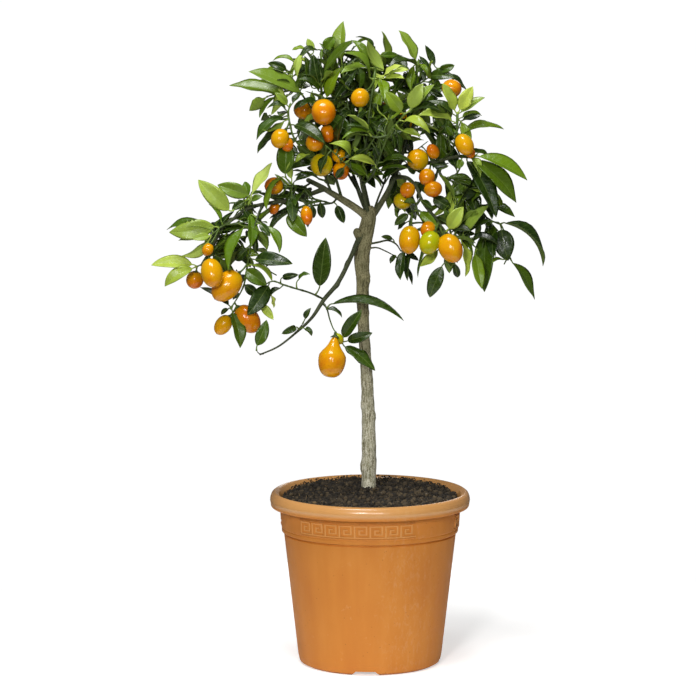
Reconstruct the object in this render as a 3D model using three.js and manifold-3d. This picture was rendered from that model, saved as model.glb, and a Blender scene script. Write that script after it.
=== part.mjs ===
// A potted kumquat tree: a plastic planter, its soil, the wood of the tree, leafy shoots and fruit.
// Millimetres, +Z up. The origin is the middle of the pot's underside, and -Y is the front.
import * as THREE from "three";
import * as BufferGeometryUtils from "three/addons/utils/BufferGeometryUtils.js";
import Module from "manifold-3d";

// ---------------------------------------------------------------- driving dimensions
const GAP = 0.3; // between pieces that touch
const POT_SIDES = 32;
const FLOOR_TOP = 3.2;
const RIM_RADIUS = 100;
const RIM_TOP = 175.5;
const CHANNEL = { depth: 4.3, wideAtBottom: 28, wideAtTop: 19.5, innerEnd: 24, roof: 3 };
const DRAIN = { radius: 4.5, places: [36, 54] };
const FRONT_NOTCH_TURN = -4; // degrees, the front channel sits a little left of the middle
const SOIL_TOP = [[7, 174], [22, 172.5], [48, 169.5], [70, 167], [87.6, 166]]; // radius, height

// The tree is laid out as it is seen from a spot in front of the pot. A point is [x, z, near]: where
// it appears on the upright plane through the trunk, and how far in front of that plane it is.
const EYE = new THREE.Vector3(-22, -2800, 620);

const BARK_SIDES = 7;
const THIN_SIDES = 3; // of a limb, twig or stalk under this radius:
const THIN_RADIUS = 3.5;
const FINENESS = 0.25; // bumps smaller than this are smoothed off after a cut
const LEAF = { wideShare: 0.4, widest: 24, narrowest: 7, widestAt: 0.45, keel: 1.0, petiole: 0.5 };

// ---------------------------------------------------------------- wood: [x, z, near, radius]
const TRUNK = [
  [-0.5, 118, 0, 6.0], [-1.2, 180, 0, 7.0], [-1, 204, 0, 7.4], [-2.2, 265, 0, 6.2], [-3.1, 284, 0, 6.0],
  [-5.4, 320, 0, 5.7], [-7.3, 356, 0, 5.8], [-7.6, 386, 0, 6.4], [-8.1, 409, 0, 7.9], [-5, 428, 0, 7.6],
  [-1, 447, 0, 7.2], [0.5, 456, 0, 4.5],
];
const PRUNED_STUB = [[-7, 420, 3, 4.2], [-11, 428, 5, 4.0], [-13.5, 433.5, 6, 3.6]];
const LIMB_LEFT = [
  [-1, 445, 0, 5.0], [-10, 453, 2, 4.8], [-25, 463, 4, 4.4], [-40, 472, 5, 3.6], [-50, 478, 6, 3.2],
  [-62, 484, 7, 2.9],
];
const LIMB_RIGHT = [
  [1, 446, -2, 5.0], [12, 463, -6, 4.6], [20, 478, -10, 4.0], [26, 492, -12, 3.4], [31, 505, -14, 2.8],
  [34, 522, -15, 2.3],
];
const LIMB_BACK = [
  [0, 448, -3, 4.0], [-4, 468, -16, 3.4], [-8, 490, -30, 2.8], [-6, 514, -42, 2.2],
];
const STEM_FRONT = [
  [-2, 450, 3, 2.8], [-5, 464, 12, 2.3], [-9, 480, 24, 2.0], [-10, 494, 32, 1.7], [-6, 508, 38, 1.5],
];
const LOW_BRANCH = [
  [-7, 430, 4, 3.4], [-12, 424, 8, 3.0], [-18, 410, 13, 2.7], [-32, 382, 24, 2.6], [-46, 365, 34, 2.5],
  [-58, 347, 42, 1.9], [-75, 331, 50, 1.4], [-92, 318, 56, 1.2], [-110, 310, 60, 1.0],
];
const BRANCH_LEFT = [
  [-46, 475, 6, 2.6], [-62, 469, 18, 2.2], [-80, 464, 32, 2.1], [-100, 461, 42, 1.9], [-120, 456, 50, 1.8],
  [-135, 446, 54, 1.6], [-146, 437, 56, 1.5], [-152, 426, 57, 1.4], [-158, 414, 57, 1.3],
  [-168, 399, 55, 1.1],
];
const BRANCH_RIGHT = [
  [27, 495, -12, 2.6], [45, 500, 0, 2.2], [60, 501, 12, 2.0], [72, 504, 20, 1.8], [85, 507, 26, 1.6],
  [99, 508, 28, 1.3],
];
const BRANCH_RIGHT_LOW = [
  [24, 487, -11, 2.4], [38, 485, 16, 2.0], [46, 476, 26, 1.8], [51, 464, 32, 1.7], [58, 454, 37, 1.6],
  [66, 445, 40, 1.4], [71, 435, 41, 1.2],
];
const WOOD_MEMBERS = [
  TRUNK, PRUNED_STUB, LIMB_LEFT, LIMB_RIGHT, LIMB_BACK, STEM_FRONT, LOW_BRANCH, BRANCH_LEFT, BRANCH_RIGHT,
  BRANCH_RIGHT_LOW,
];

// ---------------------------------------------------------------- leafy shoots
// twigs: the points of each; a second one starts on the first. leaves: [tip x, tip z, base x, base z,
// width that shows, how much nearer the tip is, how far the blade bows up, age from 0 old to 1 young].
// A width below 0 shows the underside.
const SHOOTS = [
  {
    name: "shoot_left_leader",
    radius: 1.45,
    twigs: [[[-38, 471, 5], [-44, 486, 14], [-46, 500, 22], [-58, 508, 32], [-70, 518, 40], [-76, 527, 44],
      [-79, 538, 44], [-81, 550, 42], [-79, 558, 40]]],
    leaves: [
      [-113, 525, -83, 546, 9, 10, 6, 0.3], [-106, 532, -85, 542, -6, 14, 2, 0.6],
      [-112, 511, -82, 534, 8, 4, 4, 0.1], [-45, 521, -78, 538, 13, 22, 6, 0.1],
      [-102, 555, -82, 548, 4, 6, 8, 0.15], [-94, 570, -80, 555, 8, 5, 2, 0.6],
      [-66, 570, -78, 556, 6, -8, 3, 0.1], [-60, 535, -71, 519, 7, -12, 3, 0.05],
      [-75, 501, -61, 508, 6, 6, 5, 0.6],
    ],
  },
  {
    name: "shoot_crown_left",
    radius: 1.7,
    twigs: [[[-28, 465, 3], [-35, 490, 12], [-40, 520, 20], [-45, 545, 26], [-48, 570, 28], [-49, 592, 26],
      [-48, 611, 22]], [[-49, 592, 26], [-56, 602, 28], [-63, 611, 27]]],
    leaves: [
      [-35, 625, -47, 611, 12, 6, 2, 0.5], [-56, 607, -49, 572, 18, 8, 2, 0.1],
      [-65, 606, -58, 576, 10, 4, 2, 0.3], [-71, 601, -48, 610, 6, 10, 7, 0.15],
      [-62, 623, -56, 611, 8, -4, 0, 0.7], [-77, 612, -62, 613, 4, 2, 2, 0.5],
      [-72, 585, -66, 611, -8, 8, -5, 0.8], [-70, 584, -50, 569, 8, 12, 5, 0.3],
      [-76, 554, -53, 562, 6, 12, 2, 0.2], [-29, 595, -43, 565, 11, 10, 3, 0.5],
      [-16, 621, -47, 588, 9, 14, 3, 0.3], [-15, 528, -40, 546, 17, 20, 3, 0.2],
      [-38, 620, -46, 606, 7, -12, 1, 0.05], [-33, 560, -44, 548, 8, -10, 2, 0.05],
    ],
  },
  {
    name: "shoot_crown_far_left",
    radius: 1.2,
    twigs: [[[-41, 530, 22], [-52, 546, 20], [-63, 562, 16], [-73, 576, 12], [-80, 590, 8]]],
    leaves: [
      [-119, 592, -66, 568, 15, 12, 4, 0.6], [-139, 577, -84, 567, 13, -8, 3, 0.4],
      [-98, 548, -90, 580, -10, 10, 3, 0.9], [-101, 599, -80, 590, 9, 4, 7, 0.15],
      [-96, 602, -75, 600, 4, -4, 4, 0.5], [-104, 591, -84, 589, 5, -4, 3, 0.5],
      [-74, 600, -77, 584, 4, -6, 1, 0.6], [-58, 590, -68, 572, 8, -14, 2, 0.1],
    ],
  },
  {
    name: "shoot_top_left",
    radius: 1.4,
    twigs: [[[-10, 486, 26], [-15, 515, 24], [-20, 545, 20], [-25, 575, 14], [-28, 597, 10]]],
    leaves: [
      [-27, 640, -28, 598, 15, -2, 2, 0.6], [-35, 564, -20, 586, 13, 12, 4, 0.1],
      [-29, 562, -17, 576, 9, 6, 3, 0.05], [-38, 617, -29, 590, 7, -14, 2, 0.05],
      [-10, 604, -25, 585, 8, -12, 3, 0.2], [-32, 540, -18, 552, 8, 14, 4, 0.1],
    ],
  },
  {
    name: "shoot_top",
    radius: 1.5,
    twigs: [[[-7, 504, 36], [-3, 530, 40], [0, 558, 42], [3, 578, 38], [5, 594, 30], [6, 606, 24]]],
    leaves: [
      [-18, 622, -1, 600, 9, 4, 2, 0.55], [-14, 625, 2, 610, 3, -6, 5, 0.2],
      [-3, 621, 13, 593, 11, 12, -5, 0.8], [-26, 609, -1, 584, 6, 12, 8, 0.55],
      [-29, 590, -3, 594, 7, 16, 3, 0.6], [27, 607, 12, 606, 7, -10, 1, 0.4],
      [14, 563, 11, 582, 12, 26, 3, 0.5], [30, 597, 14, 587, 5, 10, 2, 0.85],
      [38, 592, 14, 586, 5, 12, 2, 0.85], [33, 585, 14, 584, 5, 14, 1, 0.75],
      [-12, 561, -2, 572, 7, -8, 2, 0.05], [12, 548, 0, 562, 9, -6, 2, 0.05],
      [-14, 541, -1, 552, 6, 10, 2, 0.2],
    ],
  },
  {
    name: "shoot_top_right",
    radius: 1.4,
    twigs: [[[33, 516, -14], [38, 542, -6], [42, 568, 4], [46, 588, 10], [47, 600, 11]]],
    leaves: [
      [28, 631, 46, 598, 11, 0, 2, 0.6], [40, 572, 43, 597, 9, 14, 2, 0.4],
      [16, 592, 48, 595, 5, 18, 8, 0.1], [57, 588, 48, 598, 6, 6, 3, 0.45],
      [27, 574, 40, 590, 9, -8, 2, 0.05], [52, 580, 47, 594, 5, 2, 1, 0.1],
      [29, 556, 40, 566, 8, -8, 2, 0.05],
    ],
  },
  {
    name: "shoot_crown_right",
    radius: 1.25,
    twigs: [[[34, 520, -15], [45, 545, -18], [55, 570, -15], [62, 586, -10], [67, 593, -6]]],
    leaves: [
      [55, 617, 66, 593, 8, 4, -3, 0.2], [83, 597, 66, 591, 10, 6, 4, 0.35],
      [83, 585, 57, 586, 11, 14, 3, 0.2], [96, 572, 68, 590, 6, -4, 3, 0.1],
      [48, 606, 61, 584, 6, -10, 2, 0.2], [72, 566, 56, 573, 8, 6, 3, 0.1],
    ],
  },
  {
    name: "shoot_right_upright",
    radius: 1.4,
    twigs: [[[72, 504, 20], [81, 514, 30], [85, 529, 36], [86, 549, 38]]],
    leaves: [
      [71, 579, 84, 550, 11, 8, 2, 0.7], [101, 576, 86, 549, 14, 8, 2, 0.75],
      [113, 565, 87, 548, 9, 2, 3, 0.65], [56, 561, 83, 547, 7, -4, 4, 0.15],
      [110, 548, 89, 544, 4, -4, 4, 0.4], [48, 549, 82, 541, 9, 16, 3, 0.75],
      [99, 521, 89, 543, 10, 8, -4, 0.5], [132, 534, 88, 528, 8, -6, 6, 0.4],
      [67, 530, 83, 540, 8, -8, 2, 0.2], [74, 538, 83, 527, 7, 6, 2, 0.4],
    ],
  },
  {
    name: "shoot_front_right",
    radius: 1.2,
    twigs: [[[-8, 478, 22], [2, 489, 36], [8, 503, 48], [15, 522, 60], [20, 533, 66], [27, 541, 70],
      [34, 549, 72]]],
    leaves: [
      [52, 579, 40, 555, 15, 6, 2, 0.8], [63, 578, 42, 555, 10, 0, 2, 0.6],
      [15, 571, 32, 549, 14, 8, 3, 0.55], [59, 531, 32, 541, 9, 10, 8, 0.65],
      [50, 527, 33, 532, 7, 8, 4, 0.6], [70, 553, 40, 551, 7, -2, 6, 0.1],
      [24, 515, 20, 533, 5, 4, 1, 0.1], [29, 510, 25, 533, 5, 6, 2, 0.15],
      [-21, 505, 7, 496, 8, 10, 6, 0.7], [-25, 501, -2, 487, 9, 10, 2, 0.4],
      [42, 502, 10, 500, 6, 8, 6, 0.25], [38, 496, 10, 494, 4, 2, 2, 0.3],
    ],
  },
  {
    name: "shoot_front_left",
    radius: 0.95,
    twigs: [[[-8, 486, 28], [-16, 493, 40], [-25, 501, 48], [-36, 511, 54], [-43, 517, 56]]],
    leaves: [
      [-40, 520, -20, 507, 8, 8, 10, 0.6], [-16, 513, -28, 505, 9, -6, 2, 0.05],
      [-50, 490, -40, 512, 7, 3, 2, 0.1], [-34, 486, -24, 499, 8, -6, 2, 0.1],
    ],
  },
  {
    name: "shoot_front_centre",
    radius: 1.1,
    twigs: [[[-6, 507, 38], [-2, 516, 46], [4, 525, 54], [8, 530, 56]]],
    leaves: [
      [-28, 525, 4, 527, 6, 12, 7, 0.5], [10, 503, 2, 521, 9, -8, 2, 0.05],
      [24, 506, 7, 527, 10, -10, 3, 0.25], [-14, 508, -2, 516, 9, -8, 2, 0.1],
      [16, 546, 8, 530, 7, -8, 1, 0.2], [-6, 540, 3, 526, 6, -6, 1, 0.2],
    ],
  },
  {
    name: "shoot_left_inner",
    radius: 1.2,
    twigs: [[[-58, 482, 7], [-64, 478, 20], [-71, 477, 32], [-78, 480, 40]]],
    leaves: [
      [-83, 525, -84, 490, 20, -4, 3, 0.35], [-80, 502, -77, 483, -7, 4, 2, 0.7],
      [-60, 488, -76, 481, 6, 6, 3, 0.1], [-88, 474, -62, 475, 5, 8, 2, 0.05],
      [-58, 473, -68, 474, 8, -8, 2, 0.05], [-103, 455, -88, 486, 7, 16, 4, 0.4],
    ],
  },
  {
    name: "shoot_left_underside",
    radius: 1.15,
    twigs: [[[-32, 467, 3], [-38, 461, 12], [-48, 463, 22], [-58, 461, 30], [-72, 455, 36],
      [-78, 450, 38]]],
    leaves: [
      [-47, 446, -50, 465, 9, -6, 1, 0.05], [-26, 441, -34, 461, 10, 4, 2, 0.1],
      [-56, 446, -58, 462, 8, -4, 1, 0.05], [-63, 428, -82, 450, 16, 10, 5, 0.35],
      [-61, 437, -72, 455, 7, -6, 2, 0.05], [-95, 466, -66, 462, 5, 4, 2, 0.1],
    ],
  },
  {
    name: "shoot_far_left_top",
    radius: 1.1,
    twigs: [[[-114, 458, 48], [-121, 459, 54], [-128, 458, 60], [-135, 454, 64]]],
    leaves: [
      [-170, 484, -139, 453, 18, 4, 3, 0.75], [-151, 479, -121, 469, 16, 2, 3, 0.6],
      [-97, 501, -116, 472, 10, -8, 0, 0.95], [-137, 454, -124, 463, 8, 4, 2, 0.15],
      [-119, 443, -126, 456, 8, -4, 1, 0.2], [-107, 468, -118, 462, 6, 6, 2, 0.35],
    ],
  },
  {
    name: "shoot_far_left_tip",
    radius: 1.0,
    twigs: [[[-142, 441, 55], [-148, 438, 62], [-153, 433, 66], [-158, 429, 68]]],
    leaves: [
      [-199, 432, -152, 438, 20, 6, 4, 0.7], [-202, 437, -158, 435, 9, -12, 5, 0.4],
      [-159, 461, -147, 442, 5, -4, 1, 0.5], [-186, 408, -160, 424, -10, -6, 4, 0.95],
      [-176, 425, -156, 429, 8, 8, 1, 0.75], [-190, 424, -162, 427, 6, -10, 2, 0.8],
    ],
  },
  {
    name: "shoot_far_left_low",
    radius: 1.0,
    twigs: [[[-158, 414, 57], [-163, 406, 60], [-168, 400, 60], [-172, 398, 60]]],
    leaves: [
      [-217, 401, -174, 400, 14, 4, 1, 0.75], [-204, 379, -173, 397, 13, 8, 6, 0.65],
      [-150, 391, -157, 412, 8, -8, 1, 0.25], [-152, 418, -161, 409, 6, 12, 1, 0.1],
    ],
  },
  {
    name: "shoot_left_cluster",
    radius: 1.3,
    twigs: [[[-106, 460, 44], [-112, 446, 58], [-117, 428, 64], [-121, 404, 60], [-126, 378, 54],
      [-138, 357, 56]]],
    leaves: [
      [-141, 394, -126, 436, 11, 14, 3, 0.5], [-118, 417, -119, 449, 11, 12, 2, 0.5],
      [-113, 411, -113, 436, 8, 2, 1, 0.05], [-99, 428, -110, 443, 8, 6, 3, 0.25],
      [-90, 412, -103, 438, 9, 8, 4, 0.5], [-77, 401, -114, 405, 14, 8, 4, 0.15],
      [-97, 384, -122, 399, 5, 10, 6, 0.6], [-103, 380, -125, 396, 16, 6, 3, 0.35],
      [-129, 317, -137, 353, 13, 8, 3, 0.3], [-148, 350, -139, 357, 5, 4, 1, 0.05],
      [-168, 379, -138, 356, 8, -16, 4, 0.2], [-134, 404, -120, 418, 9, -8, 2, 0.1],
      [-112, 370, -127, 382, 10, -6, 2, 0.05],
    ],
  },
  {
    name: "shoot_low_side",
    radius: 1.1,
    twigs: [[[-47, 366, 34], [-60, 372, 40], [-75, 376.5, 46], [-86, 380, 50], [-97, 383.5, 52],
      [-106, 378, 54],
      [-110, 366, 56]]],
    leaves: [
      [-122, 350, -99, 382, 18, 14, 4, 0.15], [-96, 345, -109, 361, 9, 6, 0, 0.75],
      [-105, 361, -86, 378, 5, 4, 3, 0.05], [-71, 390, -87, 387, 7, 4, 4, 0.05],
      [-60, 391, -71, 385, 4, 4, 2, 0.3], [-95, 357, -98, 369, 4, -4, 0, 0.9],
      [-44, 427, -50, 379, 20, 4, 2, 0.15],
    ],
  },
  {
    name: "shoot_low_branch",
    radius: 0.95,
    twigs: [[[-47, 362, 35], [-43, 356, 40], [-40, 345, 44], [-36, 335, 48], [-31, 329, 50],
      [-28, 323, 52]]],
    leaves: [
      [34, 348, -37, 361, 9, 8, 7, 0.15], [-28, 347, -46, 355, 4, 4, 4, 0.1],
      [-8, 355, -28, 325, 14, 8, 3, 0.2], [2, 332, -22, 324, 12, 4, 3, 0.15],
      [5, 294, -25, 318, 12, 8, 4, 0.25],
    ],
  },
  {
    name: "shoot_low_branch_end",
    onWood: true,
    radius: 0.9,
    twigs: [[[-74, 332, 50], [-70, 337, 54], [-67, 341, 57]]],
    leaves: [
      [-58, 329, -67, 336, 6, 4, 4, 0.2], [-88, 331, -73, 338, 8, 6, 7, 0.2],
      [-59, 357, -65, 345, 6, 2, 1, 0.1],
    ],
  },
  {
    name: "shoot_low_branch_tip",
    onWood: true,
    radius: 0.8,
    twigs: [[[-106, 311, 60], [-110, 311, 61], [-113, 314, 62]]],
    leaves: [[-103, 345, -113, 318, 13, 0, 2, 0.35]],
  },
  {
    name: "shoot_right_cluster",
    radius: 1.2,
    twigs: [[[63, 448, 39], [69, 440, 44], [73, 434, 44], [78, 430, 40], [85, 428, 36],
      [92, 428, 34], [99, 422, 31],
      [106, 416, 28]], [[69, 440, 44], [69, 428, 36], [71, 415, 34], [76, 403, 38], [80, 397, 40]]],
    leaves: [
      [49, 399, 70, 418, 10, 8, -3, 0.75], [94, 388, 90, 424, 8, 8, 4, 0.7],
      [92, 457, 76, 433, 16, 6, 2, 0.75], [116, 459, 92, 431, 11, 8, 3, 0.7],
      [121, 444, 94, 430, 7, -8, 3, 0.2], [45, 388, 64, 432, 4, -6, 2, 0.5],
      [59, 367, 71, 398, 15, -6, 3, 0.2], [87, 387, 84, 401, 8, -10, 1, 0.05],
      [99, 446, 84, 431, 6, -10, 2, 0.1], [104, 430, 92, 430, 5, -4, 1, 0.05],
      [111, 376, 104, 410, 13, 10, 2, 0.5], [127, 420, 100, 426, 8, 4, 5, 0.05],
    ],
  },
  {
    name: "shoot_right_inner",
    radius: 1.1,
    twigs: [[[50, 466, 31], [44, 456, 34], [40, 446, 32], [38, 432, 28], [36, 418, 24]]],
    leaves: [
      [24, 439, 40, 452, 9, 4, 2, 0.2], [27, 435, 38, 443, 5, -4, 1, 0.05],
      [67, 437, 50, 452, 11, 12, 2, 0.5], [29, 385, 34, 414, 10, 4, 2, 0.15],
      [37, 384, 40, 412, 7, -6, 1, 0.1], [62, 455, 49, 464, 7, 10, 3, 0.2],
      [33, 462, 46, 460, 6, 4, 3, 0.35],
    ],
  },
  {
    name: "shoot_trunk_upper",
    onWood: true,
    radius: 1.1,
    twigs: [[[-4, 420, 2], [7, 422, 6], [18, 424, 10], [26, 420, 12], [30, 414, 12]]],
    leaves: [[11, 428, 24, 424, 5, 6, 2, 0.1], [48, 404, 32, 413, 6, -6, 1, 0.1]],
  },
  {
    name: "shoot_trunk_lower",
    onWood: true,
    radius: 0.9,
    twigs: [[[-5, 415, 2], [6, 417, 0], [14, 414, -2], [24, 409, -4]]],
    leaves: [[20, 401, 27, 410, 6, 4, 1, 0.1], [42, 380, 27, 406, 5, -4, 1, 0.1]],
  },
  {
    name: "shoot_right_tip",
    radius: 1.4,
    twigs: [[[88, 507, 27], [96, 507, 34], [101, 506, 38], [105, 509, 40]]],
    leaves: [
      [109, 487, 94, 507, 7, 16, 6, 0.75], [125, 447, 95, 503, 20, 20, 8, 0.1],
      [145, 462, 100, 505, 18, 8, 7, 0.35], [155, 483, 103, 508, 13, 0, 5, 0.5],
      [87, 495, 91, 506, 8, 4, 1, 0.45], [118, 507, 99, 512, 5, -10, 2, 0.3],
    ],
  },
  {
    name: "shoot_right_mid",
    radius: 1.2,
    twigs: [[[60, 501, 12], [67, 494, 16], [72, 486, 18], [84, 482, 20], [97, 478, 20], [104, 470, 18],
      [108, 460, 16]], [[67, 494, 16], [63, 482, 20], [60, 470, 22]]],
    leaves: [
      [105, 476, 75, 487, 9, 10, 3, 0.3], [80, 469, 95, 480, 10, 4, 2, 0.35],
      [106, 452, 98, 476, 17, 6, 2, 0.2], [84, 455, 91, 469, 6, 8, 2, 0.45],
      [80, 445, 85, 470, 7, 10, 2, 0.75], [62, 448, 80, 474, 8, 12, -6, 0.65],
      [59, 500, 76, 498, 9, -4, 2, 0.05], [79, 460, 73, 484, 9, -8, 1, 0.1],
      [63, 468, 66, 490, 4, 12, 1, 0.75], [80, 456, 60, 468, 13, 4, 3, 0.1],
      [46, 464, 60, 486, 6, -4, 2, 0.1],
    ],
  },
  {
    name: "shoot_right_low",
    radius: 1.2,
    twigs: [[[97, 478, 20], [106, 462, 12], [113, 449, 8], [121, 443, 7], [129, 440, 7],
      [135, 424, 6], [139, 406, 6]]],
    leaves: [
      [137, 404, 129, 440, 21, 8, 3, 0.1], [171, 398, 130, 442, 7, -6, 12, 0.15],
      [165, 366, 139, 404, 9, -4, 3, 0.4], [112, 373, 116, 434, 20, 10, 3, 0.35],
      [106, 440, 117, 446, 6, 8, 1, 0.15],
    ],
  },
];

// Behind the trunk the crown goes on with limbs and shoots of the same growth. Each is one of those
// above, turned round the trunk by so many degrees and drawn in towards it.
const BACK_GROWTH = [
  { turn: -78, closer: 0.92, wood: [LIMB_LEFT], shoots: ["shoot_left_leader", "shoot_crown_left"] },
  {
    turn: 84,
    closer: 0.95,
    wood: [LIMB_RIGHT, BRANCH_RIGHT],
    shoots: ["shoot_top_right", "shoot_crown_right", "shoot_right_upright", "shoot_right_mid"],
  },
  { turn: 170, closer: 1.1, wood: [STEM_FRONT], shoots: ["shoot_front_right", "shoot_front_left"] },
];

// ---------------------------------------------------------------- fruit
// at: the middle, as [x, z, near]. size: half across, half along. from: what the stalk grows on, a
// shoot or "wood", and by: the spot on it nearest the stalk. ripe: 0 green to 1 orange.
const FRUITS = [
  { at: [-46, 551, 46], size: [12, 13], ripe: 0.8, from: "shoot_crown_left", by: [-44, 562] },
  { at: [-10, 565, 58], size: [9, 9.5], ripe: 0.6, from: "shoot_top", by: [1, 580] },
  { at: [-66, 553, 4], size: [9, 10], ripe: 0.95, from: "shoot_crown_far_left", by: [-52, 546] },
  {
    at: [-89, 525, 60],
    size: [8.5, 10],
    ripe: 0.6,
    from: "shoot_left_leader",
    by: [-78, 540],
    second: { at: [-82, 519, 56], size: [6, 7], ripe: 0.95 },
  },
  { at: [-55, 521, 48], size: [9, 9], ripe: 0.85, from: "shoot_left_leader", by: [-72, 521] },
  { at: [-42, 530, 36], size: [7, 9], ripe: 0.9, from: "shoot_crown_left", by: [-44, 546] },
  { at: [-48, 499, 40], size: [11, 11.5], ripe: 0.3, from: "shoot_front_left", by: [-43, 517] },
  {
    at: [-31, 508, 36],
    size: [7, 8],
    ripe: 0.8,
    from: "shoot_front_left",
    by: [-29, 504],
    second: { at: [-29, 493, 34], size: [8, 9], ripe: 0.95 },
  },
  {
    at: [-95, 478, 33],
    size: [8.5, 9.5],
    ripe: 0.85,
    from: "shoot_left_inner",
    by: [-74, 478],
    second: { at: [-95, 456, 30], size: [5, 6.5], ripe: 1 },
  },
  { at: [-63, 449, 46], size: [6, 10], ripe: 0.85, from: "shoot_left_underside", by: [-64, 459] },
  { at: [80, 574, 8], size: [9, 10], ripe: 0.85, from: "shoot_crown_right", by: [58, 577] },
  {
    at: [93, 519, 52],
    size: [8.5, 11.5],
    ripe: 0.6,
    from: "shoot_right_upright",
    by: [85, 533],
    second: { at: [100, 510, 54], size: [5.5, 7], ripe: 0.95 },
  },
  { at: [47, 504, 24], size: [10.5, 11], ripe: 0.5, from: "wood", by: [56, 501] },
  { at: [62, 512, 28], size: [6, 8], ripe: 0.95, from: "wood", by: [66, 503] },
  {
    at: [56, 487, 40],
    size: [8, 8.5],
    ripe: 0.85,
    from: "wood",
    by: [60, 501],
    second: { at: [62, 475, 42], size: [9, 8], ripe: 0.85 },
  },
  {
    at: [37, 474, 36],
    size: [7.5, 8],
    ripe: 0.85,
    from: "wood",
    by: [40, 484],
    second: { at: [32, 463, 26], size: [9, 8], ripe: 1 },
  },
  { at: [-157, 392, 84], size: [10.8, 14.8], ripe: 0.62, from: "shoot_far_left_low", by: [-158, 412] },
  { at: [-142, 379, 68], size: [13.5, 17], ripe: 0.7, from: "shoot_left_cluster", by: [-120, 412] },
  { at: [-174, 385, 48], size: [8.5, 9], ripe: 0.9, from: "shoot_far_left_low", by: [-171, 398] },
  { at: [-161, 415, 72], size: [5.5, 6.5], ripe: 0.75, from: "shoot_far_left_tip", by: [-149, 437] },
  {
    at: [-122, 346, 50],
    size: [12.5, 14.5],
    ripe: 0.9,
    from: "shoot_left_cluster",
    by: [-135, 364],
    second: { at: [-146, 340, 50], size: [8, 11], ripe: 0.65 },
  },
  {
    at: [-37.3, 304.5, 62],
    size: [13.3, 16.3],
    ripe: 0.72,
    from: "shoot_low_branch",
    by: [-34, 332],
    second: { at: [-38, 324, 52], size: [5, 6], ripe: 0.65 },
  },
  { at: [39, 425, 46], size: [10.6, 13.5], ripe: 0.7, from: "shoot_right_inner", by: [43, 452] },
  {
    at: [59, 422, 60],
    size: [9.8, 12.2],
    ripe: 0.12,
    from: "shoot_right_cluster",
    by: [68, 441],
    second: { at: [58, 434, 44], size: [9, 8], ripe: 0.8 },
  },
  { at: [79.5, 416.5, 62], size: [12, 14.5], ripe: 0.75, from: "shoot_right_cluster", by: [73, 434] },
];
const STALK_RADIUS = 0.9;
const FRUIT_SIDES = 8;
const FRUIT_BANDS = 5;

// ---------------------------------------------------------------- places
/** The real place of a point that is given as it is seen, [x, z, near]. */
function seen([x, z, near]) {
  const onPlane = new THREE.Vector3(x, 0, z);
  return onPlane.lerp(EYE, near / -EYE.y);
}

/** How a place behind the trunk follows from one in front of it. */
function turned(growth) {
  const turn = THREE.MathUtils.degToRad(growth.turn);
  const scale = new THREE.Matrix4().makeScale(growth.closer, growth.closer, 1);
  return new THREE.Matrix4().makeRotationZ(turn).multiply(scale);
}

/** A smooth route through seen points, with its radius at each. */
function route(points, radius, matrix) {
  const places = points.map(seen);
  if (matrix) places.forEach((place) => place.applyMatrix4(matrix));
  const radii = points.map((point) => point[3] ?? radius);
  return { points, radii, curve: new THREE.CatmullRomCurve3(places, false, "centripetal") };
}

/** The spot on some routes whose seen x and z come nearest to a given x and z. */
function spotOn(lines, x, z) {
  let best = { gap: Infinity };
  const stretches = lines.flatMap(({ points }) => points.slice(1).map((point, i) => [points[i], point]));
  for (const [a, b] of stretches) {
    const along = [b[0] - a[0], b[1] - a[1]];
    const reach = (x - a[0]) * along[0] + (z - a[1]) * along[1];
    const share = THREE.MathUtils.clamp(reach / (along[0] ** 2 + along[1] ** 2), 0, 1);
    const spot = [0, 1, 2].map((k) => a[k] + (b[k] - a[k]) * share);
    const gap = Math.hypot(spot[0] - x, spot[1] - z);
    if (gap < best.gap) best = { gap, spot };
  }
  return best.spot;
}

// ---------------------------------------------------------------- closed solids
const wasm = await Module();
wasm.setup();

function toSolid(geometry) {
  const bare = new THREE.BufferGeometry();
  bare.setAttribute("position", geometry.attributes.position);
  if (geometry.index) bare.setIndex(geometry.index);
  const merged = BufferGeometryUtils.mergeVertices(bare, 1e-4);
  const triVerts = new Uint32Array(merged.index.array);
  return new wasm.Manifold(
    new wasm.Mesh({
      numProp: 3,
      vertProperties: new Float32Array(merged.attributes.position.array),
      triVerts,
    }),
  );
}

function toGeometry(solid) {
  const mesh = solid.getMesh();
  const geometry = new THREE.BufferGeometry();
  geometry.setAttribute("position", new THREE.BufferAttribute(mesh.vertProperties, 3));
  geometry.setIndex(new THREE.BufferAttribute(mesh.triVerts, 1));
  return geometry;
}

/** A closed skin over rings of as many points each. An end ring may be a single point. */
function loft(rings) {
  const positions = [];
  const index = [];
  const starts = [];
  for (const ring of rings) {
    starts.push(positions.length / 3);
    ring.forEach((point) => positions.push(point.x, point.y, point.z));
  }
  for (let i = 0; i + 1 < rings.length; i += 1) {
    const [a, b] = [starts[i], starts[i + 1]];
    const sides = Math.max(rings[i].length, rings[i + 1].length);
    for (let j = 0; j < sides; j += 1) {
      const next = (j + 1) % sides;
      if (rings[i].length > 1) index.push(a + j, a + next, rings[i + 1].length > 1 ? b + next : b);
      if (rings[i + 1].length > 1) index.push(rings[i].length > 1 ? a + j : a, b + next, b + j);
    }
  }
  const last = starts[rings.length - 1];
  for (let j = 1; j + 1 < rings[0].length; j += 1) index.push(0, j + 1, j);
  for (let j = 1; j + 1 < rings[rings.length - 1].length; j += 1) index.push(last, last + j, last + j + 1);
  const geometry = new THREE.BufferGeometry();
  geometry.setAttribute("position", new THREE.Float32BufferAttribute(positions, 3));
  geometry.setIndex(index);
  return geometry;
}

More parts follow.
